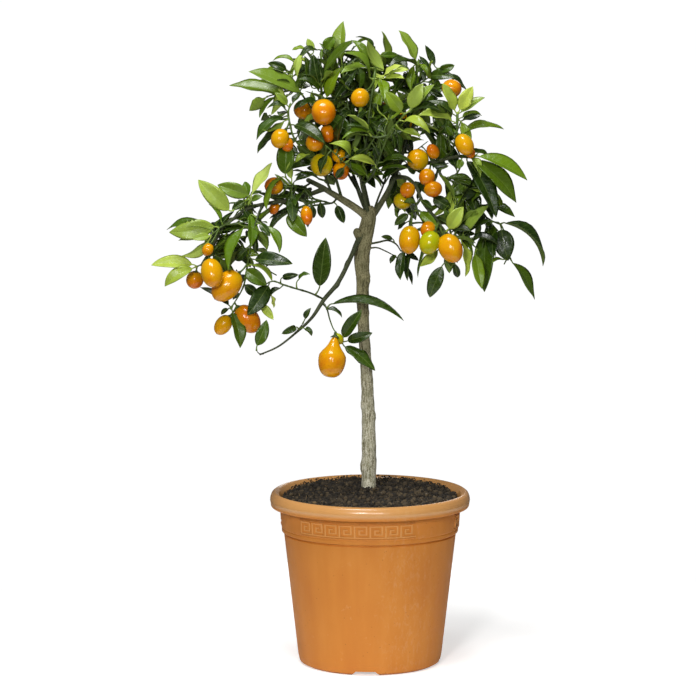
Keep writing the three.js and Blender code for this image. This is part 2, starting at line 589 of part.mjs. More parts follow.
/** A tapering tube along a route. Grown is how much further out its skin lies than the wood itself. */
function tube(line, grown = 0) {
  const steps = line.points.length - 1;
  const sides = line.radii[0] > THIN_RADIUS ? BARK_SIDES : THIN_SIDES;
  const frames = line.curve.computeFrenetFrames(steps, false);
  const rings = [];
  for (let i = 0; i <= steps; i += 1) {
    const place = line.curve.getPoint(i / steps);
    if (i === 0) place.addScaledVector(frames.tangents[0], -grown);
    if (i === steps) place.addScaledVector(frames.tangents[steps], grown);
    rings.push(circle(place, frames.normals[i], frames.binormals[i], line.radii[i] + grown, sides));
  }
  return toSolid(loft(rings));
}

function circle(middle, across, up, radius, sides) {
  return Array.from({ length: sides }, (_, j) => {
    const angle = (j / sides) * 2 * Math.PI;
    const out = across.clone().multiplyScalar(Math.cos(angle) * radius);
    return middle.clone().add(out).addScaledVector(up, Math.sin(angle) * radius);
  });
}

function joined(solids) {
  return wasm.Manifold.union(solids);
}

function largest(solid) {
  const bodies = solid.asOriginal().simplify(FINENESS).decompose();
  return bodies.reduce((best, body) => (body.volume() > best.volume() ? body : best));
}

function boxesMeet(a, b) {
  return [0, 1, 2].every((k) => a.min[k] <= b.max[k] && b.min[k] <= a.max[k]);
}

/** What is left of a solid when the room that its neighbours need is taken away. */
function clearOf(solid, rooms) {
  const box = solid.boundingBox();
  const near = rooms.filter((room) => boxesMeet(box, room.boundingBox()));
  return near.length ? solid.subtract(joined(near)) : solid;
}

// ---------------------------------------------------------------- pot and soil
// radius, height: the foot, the tapered wall, the groove under the band, the band, the hollow rolled rim
const POT_OUTSIDE = [
  [0, 0], [66, 0], [70.6, 2.4], [72.1, 9], [86, 131], [88.2, 133], [88.3, 136.4], [87.4, 137.4],
  [88.6, 138.4], [90.2, 167], [93.6, 170.6], [97, 165.5], [95, 156.5], [97.4, 156.5],
  [RIM_RADIUS, 165.5], [98.6, 172], [95.2, RIM_TOP], [91.2, 172],
];
const POT_INSIDE = [[87.2, 155], [83.5, 131.5], [69.6, 9.5], [65.5, FLOOR_TOP]];

function lathe(profile, sides) {
  const points = profile.map(([radius, height]) => new THREE.Vector2(radius, height));
  const geometry = new THREE.LatheGeometry(points, sides);
  geometry.rotateX(Math.PI / 2);
  return toSolid(geometry);
}

/** A radial drain channel under the floor, or the raised roof over it when grown. */
function channelSolid(turn, grown) {
  const half = CHANNEL.wideAtBottom / 2 + grown;
  const halfTop = CHANNEL.wideAtTop / 2 + grown;
  const shape = new THREE.Shape();
  const bottom = grown ? 0.5 : -1;
  shape.moveTo(-half, bottom);
  shape.lineTo(half, bottom);
  shape.lineTo(halfTop, CHANNEL.depth + grown);
  shape.lineTo(-halfTop, CHANNEL.depth + grown);
  const from = CHANNEL.innerEnd - grown;
  const to = grown ? 68 : 80;
  const geometry = new THREE.ExtrudeGeometry(shape, { depth: to - from, bevelEnabled: false });
  geometry.translate(0, 0, from);
  geometry.rotateX(Math.PI / 2);
  geometry.rotateZ(THREE.MathUtils.degToRad(turn));
  return toSolid(geometry);
}

function drainHole(turn, radius) {
  const angle = THREE.MathUtils.degToRad(turn - 90);
  const geometry = new THREE.CylinderGeometry(DRAIN.radius, DRAIN.radius, 30, 8);
  geometry.rotateX(Math.PI / 2);
  geometry.translate(Math.cos(angle) * radius, Math.sin(angle) * radius, 0);
  return toSolid(geometry);
}

const channelTurns = [0, 90, 180, 270].map((turn) => turn + FRONT_NOTCH_TURN);

function potSolid() {
  const shell = lathe([...POT_OUTSIDE, ...POT_INSIDE, [0, FLOOR_TOP]], POT_SIDES);
  const roofs = channelTurns.map((turn) => channelSolid(turn, CHANNEL.roof));
  const channels = channelTurns.map((turn) => channelSolid(turn, 0));
  const holes = channelTurns.flatMap((turn) => DRAIN.places.map((radius) => drainHole(turn, radius)));
  return joined([shell, ...roofs]).subtract(joined([...channels, ...holes])).simplify(FINENESS / 4);
}

function soilSolid(trunkRoom) {
  const inside = POT_INSIDE.map(([radius, height]) => [radius - GAP, height + GAP]).reverse();
  const wallTop = SOIL_TOP[SOIL_TOP.length - 1];
  const top = [...SOIL_TOP].reverse();
  const profile = [[0, FLOOR_TOP + GAP], ...inside, wallTop, ...top.slice(1), [0, SOIL_TOP[0][1]]];
  const roofs = channelTurns.map((turn) => channelSolid(turn, CHANNEL.roof + GAP));
  return lathe(profile, POT_SIDES).subtract(joined([...roofs, ...trunkRoom])).simplify(FINENESS / 4);
}

// ---------------------------------------------------------------- leaves, shoots and fruit
/**
 * One leaf: its stalk starts inside the twig, and the blade is two flat halves over a shallow keel.
 * The width that shows, against the real width, says how far the blade is turned up to the sky.
 */
function leafSolid(lines, leaf, matrix, grown = 0) {
  const [tipX, tipZ, baseX, baseZ, shown, nearer, bow, young] = leaf;
  const spot = spotOn(lines, baseX, baseZ);
  const near = spot[2];
  const root = seen(spot);
  const base = seen([baseX, baseZ, near]);
  const tip = seen([tipX, tipZ, near + nearer]);
  const run = tip.clone().sub(base);
  const length = run.length();
  const ahead = run.clone().normalize();
  const toEye = EYE.clone().sub(base).normalize();
  const side = ahead.clone().cross(toEye).normalize();
  const face = side.clone().cross(ahead);
  const width = THREE.MathUtils.clamp(length * LEAF.wideShare, LEAF.narrowest, LEAF.widest);
  const real = Math.max(width, Math.abs(shown));
  const turn = Math.acos(Math.abs(shown) / real) * (side.z > 0 ? -1 : 1) + (shown < 0 ? Math.PI : 0);
  const across = side.clone().multiplyScalar(-Math.cos(turn)).addScaledVector(face, -Math.sin(turn));
  const over = face.clone().multiplyScalar(Math.cos(turn)).addScaledVector(side, -Math.sin(turn));
  const thick = LEAF.keel * (1.1 - 0.3 * young);
  const ring = (share, half, keel) => {
    const middle = base.clone().addScaledVector(run, share);
    middle.addScaledVector(over, bow * 4 * share * (1 - share));
    return [
      middle.clone().addScaledVector(across, half + grown).addScaledVector(over, grown),
      middle.clone().addScaledVector(across, -half - grown).addScaledVector(over, grown),
      middle.clone().addScaledVector(over, -keel - 2 * grown),
    ];
  };
  const stalk = LEAF.petiole + grown;
  const rings = [
    circle(root, across, over, stalk, 3),
    ring(LEAF.widestAt, real / 2, thick),
    [tip.clone().addScaledVector(ahead, 2 * grown)],
  ];
  const geometry = loft(rings);
  if (matrix) geometry.applyMatrix4(matrix);
  return toSolid(geometry);
}

/** A fruit with its stalk end turned to where it hangs from. */
function fruitBody(middle, [across, along], hangsFrom, grown) {
  const axis = hangsFrom.clone().sub(middle).normalize();
  const arc = new THREE.EllipseCurve(0, 0, across + grown, along + grown, -Math.PI / 2, Math.PI / 2);
  const profile = arc.getPoints(FRUIT_BANDS);
  profile[0].x = 0;
  profile[profile.length - 1].x = 0;
  const geometry = new THREE.LatheGeometry(profile, FRUIT_SIDES);
  geometry.applyQuaternion(new THREE.Quaternion().setFromUnitVectors(new THREE.Vector3(0, 1, 0), axis));
  geometry.translate(middle.x, middle.y, middle.z);
  const calyx = middle.clone().addScaledVector(axis, along - 1.5);
  const stalk = {
    points: [0, 1],
    radii: [STALK_RADIUS, STALK_RADIUS],
    curve: new THREE.LineCurve3(calyx, hangsFrom),
  };
  return { solid: toSolid(geometry).add(tube(stalk, grown)), calyx };
}

function fruitSolid(fruit, grown = 0) {
  const carriers = fruit.from === "wood" ? frontWood : linesOf(fruit.from);
  const hangsFrom = seen(spotOn(carriers, ...fruit.by));
  const first = fruitBody(seen(fruit.at), fruit.size, hangsFrom, grown);
  if (!fruit.second) return first.solid;
  const fork = first.calyx.clone().lerp(hangsFrom, 0.35);
  return first.solid.add(fruitBody(seen(fruit.second.at), fruit.second.size, fork, grown).solid);
}

// ---------------------------------------------------------------- putting the tree together
const backShoots = BACK_GROWTH.flatMap((growth) =>
  growth.shoots.map((name) => {
    const shoot = SHOOTS.find((other) => other.name === name);
    return { ...shoot, name: name.replace("shoot_", "shoot_back_"), matrix: turned(growth) };
  }),
);
const growths = [...SHOOTS, ...backShoots].map((shoot) => ({
  ...shoot,
  lines: shoot.twigs.map((points) => route(points, shoot.radius, shoot.matrix)),
}));

function linesOf(name) {
  return growths.find((shoot) => shoot.name === name).lines;
}

function tubes(lines, grown) {
  return joined(lines.map((line) => tube(line, grown)));
}

const frontWood = WOOD_MEMBERS.map((points) => route(points));
const backWood = BACK_GROWTH.flatMap((growth) =>
  growth.wood.map((points) => route(points, 0, turned(growth))),
);
const woodLines = [...frontWood, ...backWood];
const onWood = growths.filter((shoot) => shoot.onWood);
const shoots = growths.filter((shoot) => !shoot.onWood);

const ROOM = GAP + 0.1;
const bareWood = [...woodLines, ...onWood.flatMap((shoot) => shoot.lines)];
const woodRooms = bareWood.map((line) => tube(line, ROOM));
const wood = { name: "trunk_and_branches", body: tubes(bareWood) };

const twigRooms = shoots.map((shoot) => tubes(shoot.lines, ROOM));
shoots.forEach((shoot, i) => {
  shoot.body = largest(clearOf(tubes(shoot.lines), [...woodRooms, ...twigRooms.slice(0, i)]));
});

const fruitRooms = [];
const fruitSolids = FRUITS.map((fruit) => {
  const body = largest(clearOf(fruitSolid(fruit), [...woodRooms, ...twigRooms, ...fruitRooms]));
  fruitRooms.push(fruitSolid(fruit, ROOM));
  return body;
});

const leafRooms = [];
function withLeaves(body, carriers, otherRooms) {
  const rooms = [...otherRooms, ...fruitRooms, ...leafRooms];
  const leaves = carriers.flatMap(({ lines, leaves: list, matrix }) =>
    list.map((leaf) => [lines, leaf, matrix]),
  );
  const blades = leaves.map((leaf) => clearOf(leafSolid(...leaf), rooms));
  leaves.forEach((leaf) => leafRooms.push(leafSolid(...leaf, ROOM)));
  return largest(joined([body, ...blades]));
}

wood.solid = withLeaves(wood.body, onWood, twigRooms);
shoots.forEach((shoot, i) => {
  const others = twigRooms.filter((_, j) => j !== i);
  shoot.solid = withLeaves(shoot.body, [shoot], [...woodRooms, ...others]);
});

// ---------------------------------------------------------------- the exported group
const materials = {
  terracotta: new THREE.MeshStandardMaterial({ color: 0xcb8545, roughness: 0.5, metalness: 0 }),
  peat: new THREE.MeshStandardMaterial({ color: 0x2a221c, roughness: 0.95, metalness: 0 }),
  bark: new THREE.MeshStandardMaterial({ color: 0x7d7460, roughness: 0.9, metalness: 0 }),
  leaf: new THREE.MeshStandardMaterial({ color: 0x55812a, roughness: 0.45, metalness: 0 }),
  rind: new THREE.MeshStandardMaterial({ color: 0xf0970f, roughness: 0.3, metalness: 0 }),
};
const tree = new THREE.Group();

function addPiece(name, solid, material) {
  const mesh = new THREE.Mesh(toGeometry(solid), materials[material].clone());
  mesh.name = name;
  tree.add(mesh);
}

const trunkRoom = tube(frontWood[0], ROOM);
addPiece("pot", potSolid(), "terracotta");
addPiece("soil", soilSolid([trunkRoom]), "peat");
addPiece(wood.name, wood.solid, "bark");
shoots.forEach((shoot) => addPiece(shoot.name, shoot.solid, "leaf"));
fruitSolids.forEach((solid, i) => addPiece(`kumquat_${String(i + 1).padStart(2, "0")}`, solid, "rind"));

export default tree;
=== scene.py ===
"""Looks of a potted kumquat tree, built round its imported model.

Blender works in metres. The tree's own measures are in millimetres, +Z up, with the front towards -Y,
and become metres where a mesh is made.
"""

import itertools
import math
import random
from collections import namedtuple

import bpy
import numpy as np
from mathutils import Matrix, Vector, noise
from mathutils.kdtree import KDTree


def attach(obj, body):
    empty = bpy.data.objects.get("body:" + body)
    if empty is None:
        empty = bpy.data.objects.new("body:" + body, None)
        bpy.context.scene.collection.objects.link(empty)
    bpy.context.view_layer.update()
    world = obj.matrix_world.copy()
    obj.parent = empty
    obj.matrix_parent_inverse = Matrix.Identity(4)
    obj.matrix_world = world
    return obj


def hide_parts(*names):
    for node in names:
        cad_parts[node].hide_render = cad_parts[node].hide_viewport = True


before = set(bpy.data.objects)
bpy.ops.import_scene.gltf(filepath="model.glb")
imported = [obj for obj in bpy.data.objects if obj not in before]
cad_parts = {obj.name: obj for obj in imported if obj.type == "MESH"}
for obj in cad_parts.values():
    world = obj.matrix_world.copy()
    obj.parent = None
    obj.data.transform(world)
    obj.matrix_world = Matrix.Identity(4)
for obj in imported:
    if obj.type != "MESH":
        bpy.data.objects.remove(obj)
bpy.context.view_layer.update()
MM = 0.001
FULL_TURN = 2 * math.pi

# ---------------------------------------------------------------- the tree as it grew
# A point of the tree is [x, z, near]: where it appears on the upright plane through the trunk from a
# spot in front of the pot, and how far in front of that plane it is. A wood point adds its radius.
EYE = Vector((-22, -2800, 620))

TRUNK = [
    [-0.5, 118, 0, 6.0], [-1.2, 180, 0, 7.0], [-1, 204, 0, 7.4], [-2.2, 265, 0, 6.2], [-3.1, 284, 0, 6.0],
    [-5.4, 320, 0, 5.7], [-7.3, 356, 0, 5.8], [-7.6, 386, 0, 6.4], [-8.1, 409, 0, 7.9], [-5, 428, 0, 7.6],
    [-1, 447, 0, 7.2], [0.5, 456, 0, 4.5],
]
PRUNED_STUB = [[-7, 420, 3, 4.2], [-11, 428, 5, 4.0], [-13.5, 433.5, 6, 3.6]]
LIMB_LEFT = [
    [-1, 445, 0, 5.0], [-10, 453, 2, 4.8], [-25, 463, 4, 4.4], [-40, 472, 5, 3.6], [-50, 478, 6, 3.2],
    [-62, 484, 7, 2.9],
]
LIMB_RIGHT = [
    [1, 446, -2, 5.0], [12, 463, -6, 4.6], [20, 478, -10, 4.0], [26, 492, -12, 3.4], [31, 505, -14, 2.8],
    [34, 522, -15, 2.3],
]
LIMB_BACK = [
    [0, 448, -3, 4.0], [-4, 468, -16, 3.4], [-8, 490, -30, 2.8], [-6, 514, -42, 2.2],
]
STEM_FRONT = [
    [-2, 450, 3, 2.8], [-5, 464, 12, 2.3], [-9, 480, 24, 2.0], [-10, 494, 32, 1.7], [-6, 508, 38, 1.5],
]
LOW_BRANCH = [
    [-7, 430, 4, 3.4], [-12, 424, 8, 3.0], [-18, 410, 13, 2.7], [-32, 382, 24, 2.6], [-46, 365, 34, 2.5],
    [-58, 347, 42, 1.9], [-75, 331, 50, 1.4], [-92, 318, 56, 1.2], [-110, 310, 60, 1.0],
]
BRANCH_LEFT = [
    [-46, 475, 6, 2.6], [-62, 469, 18, 2.2], [-80, 464, 32, 2.1], [-100, 461, 42, 1.9], [-120, 456, 50, 1.8],
    [-135, 446, 54, 1.6], [-146, 437, 56, 1.5], [-152, 426, 57, 1.4], [-158, 414, 57, 1.3],
    [-168, 399, 55, 1.1],
]
BRANCH_RIGHT = [
    [27, 495, -12, 2.6], [45, 500, 0, 2.2], [60, 501, 12, 2.0], [72, 504, 20, 1.8], [85, 507, 26, 1.6],
    [99, 508, 28, 1.3],
]
BRANCH_RIGHT_LOW = [
    [24, 487, -11, 2.4], [38, 485, 16, 2.0], [46, 476, 26, 1.8], [51, 464, 32, 1.7], [58, 454, 37, 1.6],
    [66, 445, 40, 1.4], [71, 435, 41, 1.2],
]

# A leaf is its tip's x and z, its stalk's x and z, how wide it shows (less than 0 from underneath), how
# much nearer its tip is, how far it bows and how young it is. How young also holds painted light and shade:
# leaves that are lit are given a brighter, younger tone, and shaded ones a darker one. A shoot on the wood
# is part of the wood.
Shoot = namedtuple("Shoot", "name radius twigs leaves on_wood", defaults=[False])
# Shoots and wood that grow behind the trunk are turned round it from the front, and closer to it.
Growth = namedtuple("Growth", "turn closer wood shoots")
# A fruit is its middle, half width and half height, how ripe it is, the shoot it hangs from (or the wood)
# and where on it, how far it is drawn in at the stalk, and the second fruit on its stalk.
Fruit = namedtuple("Fruit", "at size ripe source by neck second", defaults=[None, None, 0, None])

SHOOTS = [
    Shoot("left_leader", 1.45, twigs=[
        [[-38, 471, 5], [-44, 486, 14], [-46, 500, 22], [-58, 508, 32], [-70, 518, 40], [-76, 527, 44],
        [-79, 538, 44], [-81, 550, 42], [-79, 558, 40]],
    ], leaves=[
        [-113, 525, -83, 546, 9, 10, 6, 0.3], [-106, 532, -85, 542, -6, 14, 2, 0.6],
        [-112, 511, -82, 534, 8, 4, 4, 0.1], [-45, 521, -78, 538, 13, 22, 6, 0.1],
        [-102, 555, -82, 548, 4, 6, 8, 0.15], [-94, 570, -80, 555, 8, 5, 2, 0.6],
        [-66, 570, -78, 556, 6, -8, 3, 0.1], [-60, 535, -71, 519, 7, -12, 3, 0.05],
        [-75, 501, -61, 508, 6, 6, 5, 0.6],
    ]),
    Shoot("crown_left", 1.7, twigs=[
        [[-28, 465, 3], [-35, 490, 12], [-40, 520, 20], [-45, 545, 26], [-48, 570, 28], [-49, 592, 26],
        [-48, 611, 22]], [[-49, 592, 26], [-56, 602, 28], [-63, 611, 27]],
    ], leaves=[
        [-35, 625, -47, 611, 12, 6, 2, 0.5], [-56, 607, -49, 572, 18, 8, 2, 0.1],
        [-65, 606, -58, 576, 10, 4, 2, 0.3], [-71, 601, -48, 610, 6, 10, 7, 0.15],
        [-62, 623, -56, 611, 8, -4, 0, 0.7], [-77, 612, -62, 613, 4, 2, 2, 0.5],
        [-72, 585, -66, 611, -8, 8, -5, 0.8], [-70, 584, -50, 569, 8, 12, 5, 0.3],
        [-76, 554, -53, 562, 6, 12, 2, 0.2], [-29, 595, -43, 565, 11, 10, 3, 0.5],
        [-16, 621, -47, 588, 9, 14, 3, 0.3], [-15, 528, -40, 546, 17, 20, 3, 0.2],
        [-38, 620, -46, 606, 7, -12, 1, 0.05], [-33, 560, -44, 548, 8, -10, 2, 0.05],
    ]),
    Shoot("crown_far_left", 1.2, twigs=[
        [[-41, 530, 22], [-52, 546, 20], [-63, 562, 16], [-73, 576, 12], [-80, 590, 8]],
    ], leaves=[
        [-119, 592, -66, 568, 15, 12, 4, 0.6], [-139, 577, -84, 567, 13, -8, 3, 0.4],
        [-98, 548, -90, 580, -10, 10, 3, 0.9], [-101, 599, -80, 590, 9, 4, 7, 0.15],
        [-96, 602, -75, 600, 4, -4, 4, 0.5], [-104, 591, -84, 589, 5, -4, 3, 0.5],
        [-74, 600, -77, 584, 4, -6, 1, 0.6], [-58, 590, -68, 572, 8, -14, 2, 0.1],
    ]),
    Shoot("top_left", 1.4, twigs=[
        [[-10, 486, 26], [-15, 515, 24], [-20, 545, 20], [-25, 575, 14], [-28, 597, 10]],
    ], leaves=[
        [-27, 640, -28, 598, 15, -2, 2, 0.6], [-35, 564, -20, 586, 13, 12, 4, 0.1],
        [-29, 562, -17, 576, 9, 6, 3, 0.05], [-38, 617, -29, 590, 7, -14, 2, 0.05],
        [-10, 604, -25, 585, 8, -12, 3, 0.2], [-32, 540, -18, 552, 8, 14, 4, 0.1],
    ]),
    Shoot("top", 1.5, twigs=[
        [[-7, 504, 36], [-3, 530, 40], [0, 558, 42], [3, 578, 38], [5, 594, 30], [6, 606, 24]],
    ], leaves=[
        [-18, 622, -1, 600, 9, 4, 2, 0.55], [-14, 625, 2, 610, 3, -6, 5, 0.2],
        [-3, 621, 13, 593, 11, 12, -5, 0.8], [-26, 609, -1, 584, 6, 12, 8, 0.55],
        [-29, 590, -3, 594, 7, 16, 3, 0.6], [27, 607, 12, 606, 7, -10, 1, 0.4],
        [14, 563, 11, 582, 12, 26, 3, 0.5], [30, 597, 14, 587, 5, 10, 2, 0.85],
        [38, 592, 14, 586, 5, 12, 2, 0.85], [33, 585, 14, 584, 5, 14, 1, 0.75],
        [-12, 561, -2, 572, 7, -8, 2, 0.05], [12, 548, 0, 562, 9, -6, 2, 0.05],
        [-14, 541, -1, 552, 6, 10, 2, 0.2],
    ]),
    Shoot("top_right", 1.4, twigs=[
        [[33, 516, -14], [38, 542, -6], [42, 568, 4], [46, 588, 10], [47, 600, 11]],
    ], leaves=[
        [28, 631, 46, 598, 11, 0, 2, 0.6], [40, 572, 43, 597, 9, 14, 2, 0.4],
        [16, 592, 48, 595, 5, 18, 8, 0.1], [57, 588, 48, 598, 6, 6, 3, 0.45],
        [27, 574, 40, 590, 9, -8, 2, 0.05], [52, 580, 47, 594, 5, 2, 1, 0.1],
        [29, 556, 40, 566, 8, -8, 2, 0.05],
    ]),
    Shoot("crown_right", 1.25, twigs=[
        [[34, 520, -15], [45, 545, -18], [55, 570, -15], [62, 586, -10], [67, 593, -6]],
    ], leaves=[
        [55, 617, 66, 593, 8, 4, -3, 0.2], [83, 597, 66, 591, 10, 6, 4, 0.35],
        [83, 585, 57, 586, 11, 14, 3, 0.2], [96, 572, 68, 590, 6, -4, 3, 0.1],
        [48, 606, 61, 584, 6, -10, 2, 0.2], [72, 566, 56, 573, 8, 6, 3, 0.1],
    ]),
    Shoot("right_upright", 1.4, twigs=[
        [[72, 504, 20], [81, 514, 30], [85, 529, 36], [86, 549, 38]],
    ], leaves=[
        [71, 579, 84, 550, 11, 8, 2, 0.7], [101, 576, 86, 549, 14, 8, 2, 0.75],
        [113, 565, 87, 548, 9, 2, 3, 0.65], [56, 561, 83, 547, 7, -4, 4, 0.15],
        [110, 548, 89, 544, 4, -4, 4, 0.4], [48, 549, 82, 541, 9, 16, 3, 0.75],
        [99, 521, 89, 543, 10, 8, -4, 0.5], [132, 534, 88, 528, 8, -6, 6, 0.4],
        [67, 530, 83, 540, 8, -8, 2, 0.2], [74, 538, 83, 527, 7, 6, 2, 0.4],
    ]),
    Shoot("front_right", 1.2, twigs=[
        [[-8, 478, 22], [2, 489, 36], [8, 503, 48], [15, 522, 60], [20, 533, 66], [27, 541, 70],
        [34, 549, 72]],
    ], leaves=[
        [52, 579, 40, 555, 15, 6, 2, 0.8], [63, 578, 42, 555, 10, 0, 2, 0.6],
        [15, 571, 32, 549, 14, 8, 3, 0.55], [59, 531, 32, 541, 9, 10, 8, 0.65],
        [50, 527, 33, 532, 7, 8, 4, 0.6], [70, 553, 40, 551, 7, -2, 6, 0.1],
        [24, 515, 20, 533, 5, 4, 1, 0.1], [29, 510, 25, 533, 5, 6, 2, 0.15],
        [-21, 505, 7, 496, 8, 10, 6, 0.7], [-25, 501, -2, 487, 9, 10, 2, 0.4],
        [42, 502, 10, 500, 6, 8, 6, 0.25], [38, 496, 10, 494, 4, 2, 2, 0.3],
    ]),
    Shoot("front_left", 0.95, twigs=[
        [[-8, 486, 28], [-16, 493, 40], [-25, 501, 48], [-36, 511, 54], [-43, 517, 56]],
    ], leaves=[
        [-40, 520, -20, 507, 8, 8, 10, 0.6], [-16, 513, -28, 505, 9, -6, 2, 0.05],
        [-50, 490, -40, 512, 7, 3, 2, 0.1], [-34, 486, -24, 499, 8, -6, 2, 0.1],
    ]),
    Shoot("front_centre", 1.1, twigs=[
        [[-6, 507, 38], [-2, 516, 46], [4, 525, 54], [8, 530, 56]],
    ], leaves=[
        [-28, 525, 4, 527, 6, 12, 7, 0.5], [10, 503, 2, 521, 9, -8, 2, 0.05],
        [24, 506, 7, 527, 10, -10, 3, 0.25], [-14, 508, -2, 516, 9, -8, 2, 0.1],
        [16, 546, 8, 530, 7, -8, 1, 0.2], [-6, 540, 3, 526, 6, -6, 1, 0.2],
    ]),
    Shoot("left_inner", 1.2, twigs=[
        [[-58, 482, 7], [-64, 478, 20], [-71, 477, 32], [-78, 480, 40]],
    ], leaves=[
        [-83, 525, -84, 490, 20, -4, 3, 0.35], [-80, 502, -77, 483, -7, 4, 2, 0.7],
        [-60, 488, -76, 481, 6, 6, 3, 0.1], [-88, 474, -62, 475, 5, 8, 2, 0.05],
        [-58, 473, -68, 474, 8, -8, 2, 0.05], [-103, 455, -88, 486, 7, 16, 4, 0.4],
    ]),
    Shoot("left_underside", 1.15, twigs=[
        [[-32, 467, 3], [-38, 461, 12], [-48, 463, 22], [-58, 461, 30], [-72, 455, 36], [-78, 450, 38]],
    ], leaves=[
        [-47, 446, -50, 465, 9, -6, 1, 0.05], [-26, 441, -34, 461, 10, 4, 2, 0.1],
        [-56, 446, -58, 462, 8, -4, 1, 0.05], [-63, 428, -82, 450, 16, 10, 5, 0.35],
        [-61, 437, -72, 455, 7, -6, 2, 0.05], [-95, 466, -66, 462, 5, 4, 2, 0.1],
    ]),
    Shoot("far_left_top", 1.1, twigs=[
        [[-114, 458, 48], [-121, 459, 54], [-128, 458, 60], [-135, 454, 64]],
    ], leaves=[
        [-170, 484, -139, 453, 18, 4, 3, 0.75], [-151, 479, -121, 469, 16, 2, 3, 0.6],
        [-97, 501, -116, 472, 10, -8, 0, 0.95], [-137, 454, -124, 463, 8, 4, 2, 0.15],
        [-119, 443, -126, 456, 8, -4, 1, 0.2], [-107, 468, -118, 462, 6, 6, 2, 0.35],
    ]),
    Shoot("far_left_tip", 1.0, twigs=[
        [[-142, 441, 55], [-148, 438, 62], [-153, 433, 66], [-158, 429, 68]],
    ], leaves=[
        [-199, 432, -152, 438, 20, 6, 4, 0.7], [-202, 437, -158, 435, 9, -12, 5, 0.4],
        [-159, 461, -147, 442, 5, -4, 1, 0.5], [-186, 408, -160, 424, -10, -6, 4, 0.95],
        [-176, 425, -156, 429, 8, 8, 1, 0.75], [-190, 424, -162, 427, 6, -10, 2, 0.8],
    ]),
    Shoot("far_left_low", 1.0, twigs=[
        [[-158, 414, 57], [-163, 406, 60], [-168, 400, 60], [-172, 398, 60]],
    ], leaves=[
        [-217, 401, -174, 400, 14, 4, 1, 0.75], [-204, 379, -173, 397, 13, 8, 6, 0.65],
        [-150, 391, -157, 412, 8, -8, 1, 0.25], [-152, 418, -161, 409, 6, 12, 1, 0.1],
    ]),
    Shoot("left_cluster", 1.3, twigs=[
        [[-106, 460, 44], [-112, 446, 58], [-117, 428, 64], [-121, 404, 60], [-126, 378, 54],
        [-138, 357, 56]],
    ], leaves=[
        [-141, 394, -126, 436, 11, 14, 3, 0.5], [-118, 417, -119, 449, 11, 12, 2, 0.5],
        [-113, 411, -113, 436, 8, 2, 1, 0.05], [-99, 428, -110, 443, 8, 6, 3, 0.25],
        [-90, 412, -103, 438, 9, 8, 4, 0.5], [-77, 401, -114, 405, 14, 8, 4, 0.15],
        [-97, 384, -122, 399, 5, 10, 6, 0.6], [-103, 380, -125, 396, 16, 6, 3, 0.35],
        [-129, 317, -137, 353, 13, 8, 3, 0.3], [-148, 350, -139, 357, 5, 4, 1, 0.05],
        [-168, 379, -138, 356, 8, -16, 4, 0.2], [-134, 404, -120, 418, 9, -8, 2, 0.1],
        [-112, 370, -127, 382, 10, -6, 2, 0.05],
    ]),
    Shoot("low_side", 1.1, twigs=[
        [[-47, 366, 34], [-60, 372, 40], [-75, 376.5, 46], [-86, 380, 50], [-97, 383.5, 52],
        [-106, 378, 54], [-110, 366, 56]],
    ], leaves=[
        [-122, 350, -99, 382, 18, 14, 4, 0.15], [-96, 345, -109, 361, 9, 6, 0, 0.75],
        [-105, 361, -86, 378, 5, 4, 3, 0.05], [-71, 390, -87, 387, 7, 4, 4, 0.05],
        [-60, 391, -71, 385, 4, 4, 2, 0.3], [-95, 357, -98, 369, 4, -4, 0, 0.9],
        [-44, 427, -50, 379, 20, 4, 2, 0.15],
    ]),
    Shoot("low_branch", 0.95, twigs=[
        [[-47, 362, 35], [-43, 356, 40], [-40, 345, 44], [-36, 335, 48], [-31, 329, 50], [-28, 323, 52]],
    ], leaves=[
        [34, 348, -37, 361, 9, 8, 7, 0.15], [-28, 347, -46, 355, 4, 4, 4, 0.1],
        [-8, 355, -28, 325, 14, 8, 3, 0.2], [2, 332, -22, 324, 12, 4, 3, 0.15],
        [5, 294, -25, 318, 12, 8, 4, 0.25],
    ]),
    Shoot("low_branch_end", 0.9, on_wood=True, twigs=[
        [[-74, 332, 50], [-70, 337, 54], [-67, 341, 57]],
    ], leaves=[
        [-58, 329, -67, 336, 6, 4, 4, 0.2], [-88, 331, -73, 338, 8, 6, 7, 0.2],
        [-59, 357, -65, 345, 6, 2, 1, 0.1],
    ]),
    Shoot("low_branch_tip", 0.8, on_wood=True, twigs=[
        [[-106, 311, 60], [-110, 311, 61], [-113, 314, 62]],
    ], leaves=[
        [-103, 345, -113, 318, 13, 0, 2, 0.35],
    ]),
    Shoot("right_cluster", 1.2, twigs=[
        [[63, 448, 39], [69, 440, 44], [73, 434, 44], [78, 430, 40], [85, 428, 36], [92, 428, 34],
        [99, 422, 31], [106, 416, 28]], [[69, 440, 44], [69, 428, 36], [71, 415, 34], [76, 403, 38],
        [80, 397, 40]],
    ], leaves=[
        [49, 399, 70, 418, 10, 8, -3, 0.75], [94, 388, 90, 424, 8, 8, 4, 0.7],
        [92, 457, 76, 433, 16, 6, 2, 0.75], [116, 459, 92, 431, 11, 8, 3, 0.7],
        [121, 444, 94, 430, 7, -8, 3, 0.2], [45, 388, 64, 432, 4, -6, 2, 0.5],
        [59, 367, 71, 398, 15, -6, 3, 0.2], [87, 387, 84, 401, 8, -10, 1, 0.05],
        [99, 446, 84, 431, 6, -10, 2, 0.1], [104, 430, 92, 430, 5, -4, 1, 0.05],
        [111, 376, 104, 410, 13, 10, 2, 0.5], [127, 420, 100, 426, 8, 4, 5, 0.05],
    ]),
    Shoot("right_inner", 1.1, twigs=[
        [[50, 466, 31], [44, 456, 34], [40, 446, 32], [38, 432, 28], [36, 418, 24]],
    ], leaves=[
        [24, 439, 40, 452, 9, 4, 2, 0.2], [27, 435, 38, 443, 5, -4, 1, 0.05],
        [67, 437, 50, 452, 11, 12, 2, 0.5], [29, 385, 34, 414, 10, 4, 2, 0.15],
